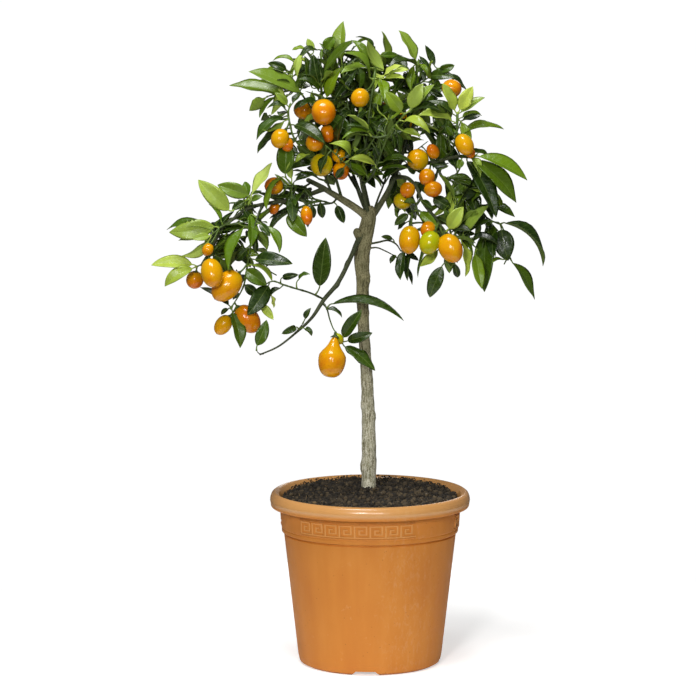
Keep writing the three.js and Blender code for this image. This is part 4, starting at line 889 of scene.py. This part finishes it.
def add_spur(skin, curve, clump, dice):
    """A short inner twig with its leaves, such as fill the middle of the crown. clump is the middle and
    the half axes of the space that its end stays in. Its end, and the tip and middle of each leaf, aren't
    put in front of the fruit that shows from the tree's front."""
    middle, reach = np.array(clump, float)
    for _ in range(40):
        start = curve[int(dice.uniform(0.12, 0.95) * (len(curve) - 1))]
        along = unit(curve[-1, :3] - curve[0, :3])
        heading = unit(along * 0.5 + spread(dice, 1) + np.array((0, 0.45, 0.12)))
        length = dice.uniform(16, 38)
        end = start[:3] + heading * length
        if np.linalg.norm((end - middle) / reach) < 1 and not hides_fruit(end, 14):
            break
    else:
        return
    bend = (start[:3] + end) / 2 + spread(dice, 3)
    line = smooth_line([(*start[:3], 1.15), (*bend, 0.9), (*end, 0.6)], 4)
    skin.loft(tube_rings(line, 6), 1, look=(0.4, 0, 0))
    ahead = unit(end - start[:3])
    first, second = cross_frame(ahead)
    count = dice.randint(4, 6)
    turn = dice.uniform(0, 6.3)
    for number in range(count):
        share = (number + 1) / count
        root = line[min(int(share * len(line)), len(line) - 1), :3]
        turn += 2.4
        out = around(first, second, turn)
        heading = unit(ahead * (0.35 + 0.5 * share) + out * (1.1 - 0.6 * share) + np.array((0, 0, 0.1)))
        size = dice.uniform(20, 44)
        tip = root + heading * size + np.array((0, 0, -0.06 * size))
        base = root + heading * 4
        if np.linalg.norm((tip - middle) / reach) > 1.08 or hides_fruit(tip) or hides_fruit((tip + base) / 2):
            continue
        up = unit(np.array((0, 0, 0.9)) + out * 0.5 + spread(dice, 0.45))
        side = unit(np.cross(heading, up))
        over = np.cross(side, heading)
        width = size * dice.uniform(0.34, 0.46)
        # inner leaves get mostly darker tones: partly older leaves, and partly painted shade in the crown's
        # middle
        young = within(dice.gauss(0.24, 0.2), 0.02, 0.8)
        add_blade(skin, root, base, tip, side, over, width, dice.uniform(0, 4), young, dice, fine=False)


# the clumps that inner twigs fill: middle and half axes, how many twigs a shoot, and the shoots
CLUMPS = [
    [[-12, 8, 548], [98, 76, 72], 6,
        "left_leader crown_left top_left top top_right crown_right front_right front_left"],
    [[-12, 8, 548], [112, 76, 72], 4, "crown_far_left right_upright"],
    [[-122, -42, 412], [42, 26, 62], 5, "left_cluster far_left_tip far_left_low"],
    [[-95, -30, 462], [46, 26, 30], 4, "far_left_top left_underside left_inner"],
    [[92, -28, 448], [44, 28, 44], 5, "right_cluster right_mid right_inner"],
    [[118, -20, 420], [34, 20, 40], 4, "right_low right_tip"],
    [[68, -10, 522], [32, 28, 30], 3, "right_upright crown_right right_mid"],
    [[76, -36, 402], [34, 26, 26], 2, "right_cluster right_low right_inner"],
    [[88, -24, 468], [30, 24, 30], 3, "right_mid right_cluster"],
]


def shoot_skin(shoot, dice):
    """The twigs of a shoot and every leaf on them."""
    skin = Skin()
    curves = [wood_line(points, shoot.radius) for points in shoot.twigs]
    for line in curves:
        line[:, 3] *= 0.95 - 0.45 * np.linspace(0, 1, len(line))
    for curve in curves if not shoot.on_wood else []:
        line = curve.copy()
        for row in shoot.leaves:
            # a swelling where each leaf stands
            knee = np.linalg.norm(line[:, :3] - nearest_on([line], seen((row[2], row[3], 30))), axis=1)
            line[:, 3] += 0.28 * np.exp(-((knee / 2) ** 2))
        bud = (*line[-1, :3] + unit(line[-1, :3] - line[-2, :3]) * 2.2, 0.25)
        line = np.vstack([line, bud])
        share = np.linspace(0, 1, len(line))
        looks = np.repeat(np.stack([0.15 + 0.5 * share, share * 0, share * 0], 1), TWIG_SIDES, axis=0)
        skin.loft(tube_rings(line, TWIG_SIDES), 1, look=looks)
    for row in shoot.leaves:
        add_leaf(skin, shoot.twigs, curves, row, dice)
    for *clump, count, names in CLUMPS:
        if shoot.name in names.split():
            for _ in range(count):
                add_spur(skin, curves[0], clump, dice)
    return skin


def put_leaves(node, skin, stands_for):
    put(node + "_leaves", skin.mesh(node + "_leaves", [leaf_skin, stem]), "leaf", stands_for)


shoots = {shoot.name: shoot for shoot in SHOOTS}
for number, shoot in enumerate(SHOOTS):
    node = "shoot_" + shoot.name
    skin = shoot_skin(shoot, random.Random(100 + number))
    put_leaves(node, skin, "trunk_and_branches" if shoot.on_wood else node)
for number, growth in enumerate(BACK_GROWTH):
    for turn, name in enumerate(growth.shoots):
        skin = shoot_skin(shoots[name], random.Random(500 + 10 * number + turn))
        skin.points = [turned(points, growth) for points in skin.points]
        put_leaves("shoot_back_" + name, skin, "shoot_back_" + name)


# ---------------------------------------------------------------- fruit
FRUIT_SIDES, FRUIT_BANDS, CALYX_SIDES = 28, 18, 20
# the calyx from the stalk out and back underneath: radius, height, and how lobed it is there
CALYX = [(0.9, 2.0, 0), (1.6, 0.9, 0), (2.6, 0.2, 0.35), (3.6, -0.5, 0.9), (3.2, -1.1, 0.8), (1.2, -1.2, 0)]


def add_fruit(skin, fruit, middle, hangs_from, dice):
    """One fruit with its calyx and stalk. Returns where the stalk meets the calyx."""
    middle, hangs_from = np.array(middle), np.array(hangs_from)
    across, along = fruit.size
    # a fruit hangs more upright than the way to its twig
    axis = unit((hangs_from - middle) * (1, 0.3, 1))
    first, second = cross_frame(axis)
    lumps = [(dice.uniform(-0.02, 0.02), dice.uniform(0, 6.3)) for _ in range(4)]
    seed = Vector((dice.uniform(0, 99), dice.uniform(0, 99), 0))
    rings, looks = [], []
    for i in range(FRUIT_BANDS + 1):
        tilt = math.pi * (i / FRUIT_BANDS - 0.5)
        height, radius = math.sin(tilt) * along, math.cos(tilt) * across
        # flattened at the stalk, and drawn in to it where the fruit has a neck
        height -= 0.05 * along * max(math.sin(tilt), 0) ** 6
        pinch = within((math.sin(tilt) - 0.12) / 0.6)
        radius *= 1 - fruit.neck * pinch * pinch * (3 - 2 * pinch)
        height -= 0.36 * fruit.neck * along * math.cos(tilt)
        ring = []
        for j in range(FRUIT_SIDES):
            angle = j / FRUIT_SIDES * FULL_TURN
            lump = sum(a * math.cos((k + 2) * angle + p) for k, (a, p) in enumerate(lumps))
            spot = around(first, second, angle) * max(radius, 0.02) * (1 + lump * 0.7) + axis * height
            ring.append(middle + spot)
            # greener towards the stalk end, which ripens last, and deeper orange towards the blossom end
            # below: painted shade
            ripeness = fruit.ripe + 0.1 * noise.noise(Vector(spot) * 0.09 + seed) - 0.14 * math.sin(tilt)
            looks.append((within(ripeness), dice.random(), 0.8 if i == 0 else 0))
        rings.append(ring)
    skin.loft(rings, 0, look=looks)

    # the blossom scar: a small brown button
    button = middle - axis * (along - 0.35)
    edge = [button + around(first, second, a) * 0.9 for a in np.arange(8) * math.pi / 4]
    skin.loft([[p - axis * 0.55 - (p - button) * 0.4 for p in edge], edge], 0, look=(0.5, 0.5, 1))

    # the calyx: five lobes that lie back on the fruit
    calyx = middle + axis * (along * 0.95)
    rings = []
    for radius, height, lobed in CALYX:
        ring = []
        for j in range(CALYX_SIDES):
            angle = j / CALYX_SIDES * FULL_TURN
            far = radius * min(across / 11, 1.1) * (1 + 0.28 * lobed * math.cos(5 * angle))
            fall = height - 0.05 * far * far
            ring.append(calyx + around(first, second, angle) * far + axis * fall)
        rings.append(ring)
    skin.loft(rings[::-1], 1, look=(0.32, 0, 0))

    start = middle + axis * (along - 1.5)
    sag = np.array((0, 0, -0.06)) * np.linalg.norm(hangs_from - start)
    bend = (start + hangs_from) / 2 + sag
    stalk = [(*start, 1.25), (*(start * 0.7 + bend * 0.3), 1.0), (*bend, 0.85), (*hangs_from, 1.15)]
    skin.loft(tube_rings(smooth_line(stalk, 2), TWIG_SIDES), 1, look=(0.5, 0, 0))
    return start


front_wood = [TRUNK, PRUNED_STUB, LIMB_LEFT, LIMB_RIGHT, LIMB_BACK, STEM_FRONT, LOW_BRANCH]
front_wood += [BRANCH_LEFT, BRANCH_RIGHT, BRANCH_RIGHT_LOW]
for number, fruit in enumerate(FRUITS, 1):
    dice = random.Random(900 + number)
    skin = Skin()
    routes = front_wood if fruit.source == "wood" else shoots[fruit.source].twigs
    spot = seen(spot_on(routes, *fruit.by))
    hangs_from = nearest_on([wood_line(points, 1) for points in routes], np.array(spot))
    start = add_fruit(skin, fruit, seen(fruit.at), hangs_from, dice)
    if fruit.second:
        fork = start * 0.65 + hangs_from * 0.35
        add_fruit(skin, fruit.second, seen(fruit.second.at), fork, dice)
    name = f"kumquat_{number:02d}"
    put(name + "_fruit", skin.mesh(name + "_fruit", [rind, stem]), "kumquat_rind", name)
for number, fruit in enumerate(FAR_FRUITS, 1):
    skin = Skin()
    add_fruit(skin, fruit, fruit.at, fruit.source, random.Random(980 + number))
    name = f"far_kumquat_{number}"
    put(name, skin.mesh(name, [rind, stem]), "kumquat_rind")


# ---------------------------------------------------------------- trunk and branches
# where side shoots once stood: the place, how wide and how high
KNOTS = [
    [[-8.5, 197, 1], 5, 2], [[-1.2, 386, 1], 5, 2], [[-12, 432, 6], 5, 0.9], [[-31, 378, 26], 3, 0.9],
    [[-25, 402, 16], 3, 0.9], [[-5, 268, 6], 4, 0.8], [[-13, 330, 1], 3.5, 1], [[5.4, 248, 1], 4, 1.4],
    [[-8.6, 260, 1], 3.5, 1.2], [[2, 216, 5], 4, 0.8], [[-2, 352, 4], 3.5, 0.9], [[2.4, 300, 1], 3, 0.9],
]
# how much of its listed radius each route of the front wood has, and the wood behind the trunk
WOOD_SHARES, BACK_SHARE = (1, 1, 0.8, 0.62, 0.62, 0.62, 0.86, 1, 1, 1), 0.5
# how far apart the points along the wood are, its sides, and the grid that fuses it, in millimetres
WOOD_SPACING, WOOD_SIDES, WOOD_GRID = 2.5, 14, 0.68
# how green thick and thin members are, and how far along the grain each one starts from the one before
OLD_GREEN, YOUNG_GREEN, GRAIN_SHIFT = 0.1, 0.8, 173


def solid_points(draft, modifiers):
    """The points, faces and normals of a throwaway object after some modifiers."""
    for kind, settings in modifiers.items():
        modifier = draft.modifiers.new(kind.lower(), kind)
        for key, value in settings.items():
            setattr(modifier, key, value)
    bpy.context.view_layer.update()
    mesh = bpy.data.meshes.new_from_object(draft.evaluated_get(bpy.context.evaluated_depsgraph_get()))
    points, normals = np.empty((2, len(mesh.vertices) * 3), np.float32)
    mesh.vertices.foreach_get("co", points)
    mesh.vertices.foreach_get("normal", normals)
    faces = [tuple(face.vertices) for face in mesh.polygons]
    bpy.data.meshes.remove(mesh)
    bpy.data.objects.remove(draft)
    return points.reshape(-1, 3) / MM, faces, normals.reshape(-1, 3)


def make_wood():
    members = [wood_line(points, None, WOOD_SPACING) for points in front_wood]
    for line, share in zip(members, WOOD_SHARES):
        line[:, 3] *= share
    for spot in members[0]:
        spot[3] += 0.5 * noise.noise(Vector((3.7, 0, spot[2] / 17)))
    for growth in BACK_GROWTH:
        for points in growth.wood:
            line = wood_line(points, None, WOOD_SPACING)
            line[:, 3] *= BACK_SHARE
            line[:, :3] = turned(line[:, :3], growth)
            members.append(line)
    for shoot in SHOOTS:
        for points in shoot.twigs if shoot.on_wood else []:
            line = wood_line(points, shoot.radius, WOOD_SPACING)
            line[:, 3] *= 1.1 - 0.35 * np.linspace(0, 1, len(line))
            members.append(line)
    rough = Skin()
    for line in members:
        # rounded ends
        ends = line[[0, -1]].copy()
        ends[0, :3] -= unit(line[1, :3] - line[0, :3]) * line[0, 3] * 0.6
        ends[1, :3] += unit(line[-1, :3] - line[-2, :3]) * line[-1, 3] * 0.6
        ends[:, 3] *= 0.45
        rough.loft(tube_rings(np.vstack([ends[:1], line, ends[1:]]), WOOD_SIDES))
    remesh, smooth = {"mode": "VOXEL", "voxel_size": WOOD_GRID * MM}, {"factor": 0.5, "iterations": 3}
    draft = link("wood_draft", rough.mesh("wood_draft", []))
    points, faces, normals = solid_points(draft, {"REMESH": remesh, "SMOOTH": smooth})

    # where each point lies round the nearest member's axis, and how far along it
    columns = []
    for number, line in enumerate(members):
        steps = np.r_[0, np.linalg.norm(np.diff(line[:, :3], axis=0), axis=1)]
        length = np.cumsum(steps) + GRAIN_SHIFT * number
        # the trunk, its stub and the left limb are old wood
        green = np.full(len(line), OLD_GREEN if number < 3 else YOUNG_GREEN)
        columns.append((line[:, :3], *frames(line), length, line[:, 3], green))
    axes, firsts, seconds, lengths, radii, greens = map(np.concatenate, zip(*columns))
    tree = KDTree(len(axes))
    for i, axis in enumerate(axes):
        tree.insert(axis, i)
    tree.balance()
    # the member that a point lies on is the one whose axis is nearest for its thickness
    nearest = [min(tree.find_n(p, 20), key=lambda hit: hit[2] / radii[hit[1]])[1] for p in points]
    first, second, radius = firsts[nearest], seconds[nearest], radii[nearest]
    off = points - axes[nearest]
    angle = np.arctan2((off * second).sum(1), (off * first).sum(1))
    along = lengths[nearest] + (off * np.cross(first, second)).sum(1)
    grain = np.stack([np.cos(angle) * radius, np.sin(angle) * radius, along], 1)

    # bark: long furrows on old wood, and knots where side shoots were
    old = np.clip((radius - 2.2) / 3.2, 0, 1)
    furrow = np.empty(len(points))
    for i, (x, y, z) in enumerate(grain):
        long = noise.noise(Vector((x * 0.42, y * 0.42, z * 0.07)))
        short = noise.noise(Vector((x * 1.1, y * 1.1, z * 0.2 + 50)))
        furrow[i] = (1 - 2 * abs(long)) * 0.65 + short * 0.35
    points = points + normals * (old * (furrow - 0.35) * 0.75 + (1 - old) * furrow * 0.12)[:, None]
    for place, size, height in KNOTS:
        far = np.linalg.norm((points - np.array(seen(place))) / (1, 2.2, 1), axis=1) / size
        # a low mound with a dimple in its middle
        swelling = height * np.exp(-(far**2)) * (1 - 0.45 * np.exp(-((far * 3) ** 2)))
        points = points + normals * swelling[:, None]

    skin = Skin()
    thin = np.maximum(1 - np.clip((radius - 2.5) / 1.6, 0, 1), greens[nearest])
    deep = np.clip(furrow * 0.5 + 0.5, 0, 1)
    high = np.clip((points[:, 2] - 220) / 130, 0, 1)
    skin.add(points, faces, 0, look=np.stack([thin, deep, high], 1))
    mesh = skin.mesh("trunk_and_branches_bark", [bark])
    layer = mesh.attributes.new("grain", "FLOAT_VECTOR", "POINT")
    layer.data.foreach_set("vector", (grain * MM).astype(np.float32).ravel())
    put("trunk_and_branches_bark", mesh, "bark", "trunk_and_branches")


make_wood()


# ---------------------------------------------------------------- planter
# radius and height: up the outside, over the rolled rim and down its hollow, then down the inside
POT_OUTSIDE = [
    [66, 0], [70.6, 2.4], [72.1, 9], [86, 130.8], [84.7, 131.8], [84.7, 132.8], [88.2, 133.2],
    [88.3, 136.8], [87.9, 137.5], [88.6, 138.2], [90.2, 167], [93.6, 170.6], [96.4, 166], [95.2, 159],
    [96.3, 158], [98.2, 158], [99.2, 159.6], [99.3, 161.2], [100, 165], [99.7, 168.6], [98.3, 173],
    [95.3, 175.5], [91.2, 172],
]
POT_INSIDE = [[87.2, 155], [83.5, 131.5], [69.6, 9.5], [65.5, 8.5]]
POT_SIDES = 240
# the rim has sagged so far at the front, and nowhere below this height
RIM_SAG, SAGS_ABOVE = 3.6, 163
# a drain channel's half section, how far out it runs, and the two holes in its roof
CHANNEL_SECTION = [(14.8, -1), (9.75, 4.3), (-9.75, 4.3), (-14.8, -1)]
CHANNEL_ENDS, CHANNEL_TURN = (24, 82), -4
HOLES_AT, HOLE_RADIUS = (36, 54), 4.5


def eased(profile, radius=1, longest=8):
    """A profile with each corner rounded off, and long straight runs cut up."""
    points = [np.array(p, float) for p in profile]
    out = [points[0]]
    for before, corner, after in zip(points, points[1:], points[2:]):
        back, on = before - corner, after - corner
        cut = min(radius, 0.42 * min(np.linalg.norm(back), np.linalg.norm(on)))
        a, b = corner + unit(back) * cut, corner + unit(on) * cut
        out += [a * (1 - t) ** 2 + corner * 2 * t * (1 - t) + b * t * t for t in (0, 0.25, 0.5, 0.75, 1)]
    out.append(points[-1])
    parted = [out[0]]
    for a, b in zip(out, out[1:]):
        pieces = max(1, round(np.linalg.norm(b - a) / longest))
        parted += [a + (b - a) * (i + 1) / pieces for i in range(pieces)]
    return parted


def lathe(profile):
    """Rings of points round the upright axis, one for each radius and height."""
    angle = np.arange(POT_SIDES) / POT_SIDES * FULL_TURN
    ring = np.stack([np.cos(angle), np.sin(angle), angle * 0], 1)
    return np.array([ring * (radius, radius, 0) + (0, 0, height) for radius, height in profile])


# ---- the raised meander on the band
# the height and radius of the band's outside at its foot and its top, and half way up
BAND_FOOT, BAND_TOP, BAND_RADIUS = (138.4, 88.6), (167, 90.2), 89.2
KEY_PITCH, KEY_LOW, KEY_HIGH, KEY_LINE, KEY_PROUD = 15.2, 140.6, 151.8, 1.6, 0.7
# the fine lines below and above it: how far off, and half as thick
LINE_BELOW, LINE_ABOVE, LINE_HALF = 1.6, 1.9, 0.35
# each panel's middle in degrees, and how many units it has
PANELS = [(-100 + turn, 8) for turn in (0, 120, 240)]
# one unit of the meander in steps across (of its pitch) and up (of its height)
KEY_UNIT = [(1, 0), (0, 0), (0, 1), (0.76, 1), (0.76, 0.3), (0.3, 0.3), (0.3, 0.66), (0.5, 0.66)]


def ribbon_box(skin, turn, low, high, left, right):
    """A raised bar on the band between two heights and two places along it, in millimetres."""
    sections = max(1, round((right - left) / 3))
    rings = []
    for i in range(sections + 1):
        angle = math.radians(turn) + (left + (right - left) * i / sections) / BAND_RADIUS
        ring = []
        for proud, height in ((-1, low), (KEY_PROUD, low + 0.25), (KEY_PROUD, high - 0.25), (-1, high)):
            ring.append((*polar(on_line(height, BAND_FOOT, BAND_TOP) + proud, angle), height))
        rings.append(ring)
    # the look marks the raised bars for their painted highlight
    skin.loft(rings, look=(0.42, 0, 0))


def add_meander(skin):
    half = KEY_LINE / 2
    for turn, count in PANELS:
        start = -count * KEY_PITCH / 2
        for number in range(count):
            corner = start + number * KEY_PITCH
            route = [(corner + u * KEY_PITCH, KEY_LOW + v * (KEY_HIGH - KEY_LOW)) for u, v in KEY_UNIT]
            for (x0, z0), (x1, z1) in zip(route, route[1:]):
                low, high = min(z0, z1) - half, max(z0, z1) + half
                ribbon_box(skin, turn, low, high, min(x0, x1) - half, max(x0, x1) + half)
        ends = (start - 3, start + count * KEY_PITCH + 1)
        for height in (KEY_LOW - LINE_BELOW, KEY_HIGH + LINE_ABOVE):
            ribbon_box(skin, turn, height - LINE_HALF, height + LINE_HALF, *ends)


def make_pot():
    shell, cuts, skin = Skin(), Skin(), Skin()
    rings = lathe(eased(POT_OUTSIDE) + eased([POT_OUTSIDE[-1], *POT_INSIDE])[1:])
    sag = np.clip((rings[..., 2] - SAGS_ABOVE) / 12.5, 0, 1) * (0.5 - rings[..., 1] / 200)
    rings[..., 2] -= RIM_SAG * sag
    shell.loft(rings)

    for quarter in range(4):
        turn = math.radians(CHANNEL_TURN + 90 * quarter - 90)
        out, along = np.array((*polar(1, turn), 0)), np.array((-math.sin(turn), math.cos(turn), 0))
        section = [along * wide + (0, 0, high) for wide, high in CHANNEL_SECTION]
        cuts.loft([[out * far + spot for spot in section] for far in CHANNEL_ENDS])
        for far in HOLES_AT:
            rim = [(*polar(HOLE_RADIUS, a), 0) for a in np.arange(20) * math.pi / 10]
            cuts.loft([[out * far + spot + (0, 0, high) for spot in rim] for high in (-3, 12)])
    cuts = link("drainage", cuts.mesh("drainage", []))
    drained = {"operation": "DIFFERENCE", "object": cuts, "solver": "EXACT", "use_self": True}
    points, faces, _ = solid_points(link("pot_shell", shell.mesh("pot_shell", [])), {"BOOLEAN": drained})
    bpy.data.objects.remove(cuts)
    skin.add(points, faces)
    add_meander(skin)
    mesh = skin.mesh("planter", [terracotta])
    mesh.set_sharp_from_angle(angle=math.radians(38))
    put("planter", mesh, "planter_plastic", "pot")


make_pot()


# ---------------------------------------------------------------- soil
# radius and height, from the trunk to the planter's wall
SOIL_TOP = [[0, 174.5], [7, 174], [22, 172.5], [48, 169.5], [70, 167], [87.6, 166]]
SOIL_EDGE = 87.6
SOIL_SIDES = 150
CRUMBS, STRAWS = 5000, 22


def heap(x, y):
    """The height of the soil at a place, with its clods."""
    radius = math.hypot(x, y)
    level = on_line(radius, *next(pair for pair in zip(SOIL_TOP, SOIL_TOP[1:]) if radius <= pair[1][0]))
    spot = Vector((x, y, 0))
    lumps = noise.fractal(spot / 13, 0.9, 2.2, 4) * 1.5 + abs(noise.noise(spot / 4.2)) * 1.6
    # it was thrown in from the front, so it lies higher at the back
    level += 5.5 * within((y + 20) / 95) ** 1.5
    return level + lumps * min(1, (SOIL_EDGE + 2 - radius) / 6) - 0.4


def icosahedron():
    """The corners and the outward faces of a regular solid of twenty sides, one across."""
    golden = (1 + 5**0.5) / 2
    corners, faces = [], []
    for a in (-1, 1):
        for b in (-golden, golden):
            corners += [(0, a, b), (a, b, 0), (b, 0, a)]
    corners = np.array(corners) / math.hypot(1, golden)
    for i, j, k in itertools.combinations(range(12), 3):
        trio = corners[[i, j, k]]
        if all(np.linalg.norm(trio[m] - trio[m - 1]) < 1.1 for m in range(3)):
            outward = np.cross(trio[1] - trio[0], trio[2] - trio[0]).dot(trio.mean(0)) > 0
            faces.append((i, j, k) if outward else (i, k, j))
    return corners, faces


def make_soil():
    skin = Skin()
    dice = random.Random(7)
    radii = [0.5, *np.arange(2.2, SOIL_EDGE - 0.2, 2.05), SOIL_EDGE - 0.4]
    angles = np.arange(SOIL_SIDES) / SOIL_SIDES * FULL_TURN
    # two rings close the soil underneath, inside the planter's wall
    hidden = ((60, 150), (SOIL_EDGE - 1, 156))
    rings = [[(*polar(radius, a), height) for a in angles] for radius, height in hidden]
    for radius in reversed(radii):
        rings.append([(*polar(radius, a), heap(*polar(radius, a))) for a in angles])
    looks = [(0.3 + 0.3 * noise.noise(Vector(p) / 6), 0, 0) for ring in rings for p in ring]
    skin.loft(rings, 0, look=looks)

    # loose crumbs, each a lumpy many-sided grain
    corners, faces = icosahedron()
    for number in range(CRUMBS):
        radius = SOIL_EDGE * math.sqrt(dice.random()) * 0.995
        a = dice.uniform(0, FULL_TURN)
        size = 0.6 + 2.4 * dice.random() ** 3
        rise = size * dice.uniform(-0.2, 0.5)
        # some cling to the wall above the soil
        if number % 6 == 0:
            a = dice.gauss(math.pi / 2, 0.75)
            radius, size = SOIL_EDGE - 0.6, dice.uniform(0.5, 1.7)
            rise = abs(dice.gauss(0, 1.6))
        # and some lie heaped against the foot of the trunk
        elif number % 40 == 1:
            radius, size = 8.6 + 2 * abs(dice.gauss(0, 1)), dice.uniform(1, 2.6)
            rise = dice.uniform(0, 3)
        x, y = polar(radius, a)
        if radius + size > SOIL_EDGE + 0.6 or math.hypot(x, y) < 7:
            continue
        stretch = np.array([dice.uniform(0.6, 1.35) for _ in range(3)]) * size
        jitter = np.array([[dice.uniform(0.72, 1.2)] for _ in range(12)])
        spin = Matrix.Rotation(dice.uniform(0, FULL_TURN), 3, (dice.random(), dice.random(), 1))
        grain = (corners * jitter * stretch) @ np.array(spin).T + (x, y, heap(x, y) + rise)
        if dice.random() > 0.996:
            skin.add(grain, faces, 1, look=(dice.random(), 0, 0))
        else:
            skin.add(grain, faces, 0, look=(dice.uniform(0.05, 0.95), 0, 0))

    # straws and wood fibres that lie on top
    for _ in range(STRAWS):
        radius, a = SOIL_EDGE * 0.93 * math.sqrt(dice.uniform(0.02, 1)), dice.uniform(0, FULL_TURN)
        heading, length = dice.uniform(0, FULL_TURN), dice.uniform(4, 13)
        line = []
        for t in (-0.5, -0.2, 0.2, 0.5):
            x = math.cos(a) * radius + math.cos(heading) * length * t
            y = math.sin(a) * radius + math.sin(heading) * length * t
            if math.hypot(x, y) > SOIL_EDGE - 1:
                x, y = x * 0.93, y * 0.93
            line.append((x, y, heap(x, y) + 0.9 + dice.uniform(-0.3, 0.4), dice.uniform(0.25, 0.5)))
        skin.loft(tube_rings(np.array(line), 5), 1, look=(dice.uniform(0, 0.6), 0, 0))
    put("compost", skin.mesh("compost", [peat, bits]), "potting_soil", "soil")


make_soil()


# ---------------------------------------------------------------- floor, lights and camera
# a softbox's place and what it points at in metres, its width and height, and its power in watts
TREE, CROWN = (-0.02, 0, 0.36), (0, 0, 0.4)
SOFTBOXES = {
    "key_softbox": [(-0.48, -2.45, 1.1), TREE, (0.32, 0.42), 31],
    "fill_softbox": [(0.42, -2.5, 0.85), TREE, (0.28, 0.4), 11],
    "top_softbox": [(-0.25, -0.55, 2.1), CROWN, (0.9, 0.5), 32],
    "back_softbox": [(0.6, 2.3, 1.5), CROWN, (0.8, 0.8), 7],
}
FLOOR_RADIUS, FLOOR_SIDES = 0.55, 96
# how bright the room's walls are to the tree and to the eye
ROOM_LIGHT, ROOM_LOOK = 0.125, 1.02
EYE_TILT = 6.18
SENSOR, LENS = 36, 36 * 2830 / 696


def make_floor():
    """A sheet of white paper under the planter that runs far past it on every side."""
    mesh = bpy.data.meshes.new("backdrop")
    rim = [(*polar(FLOOR_RADIUS, a), 0) for a in np.arange(FLOOR_SIDES) / FLOOR_SIDES * FULL_TURN]
    mesh.from_pydata(rim, [], [tuple(range(FLOOR_SIDES))])
    mesh.materials.append(paper)
    floor = link("backdrop", mesh)


make_floor()
for name, (place, target, size, power) in SOFTBOXES.items():
    lamp = bpy.data.lights.new(name, "AREA")
    lamp.shape = "RECTANGLE"
    lamp.size, lamp.size_y = size
    lamp.energy = power
    softbox = link(name, lamp)
    softbox.location = place
    softbox.rotation_euler = (Vector(target) - Vector(place)).to_track_quat("-Z", "Y").to_euler()

world = bpy.data.worlds.new("white_room")
bpy.context.scene.world = world
world.use_nodes = True
background = world.node_tree.nodes["Background"]
background.inputs["Color"].default_value = (1, 1, 1, 1)
# the room is white to look at, and lights the tree more softly than it looks
rays = add(world.node_tree, "LightPath")
brightness = add(world.node_tree, "MapRange", rays, 0, 1, ROOM_LIGHT, ROOM_LOOK)
world.node_tree.links.new(brightness, background.inputs["Strength"])

lens = bpy.data.cameras.new("camera")
lens.sensor_width, lens.lens = SENSOR, LENS
camera = link("camera", lens)
camera.location = EYE * MM
camera.rotation_euler = (math.radians(90 - EYE_TILT), 0, 0)
bpy.context.scene.camera = camera
bpy.context.scene.view_settings.view_transform = "Standard"
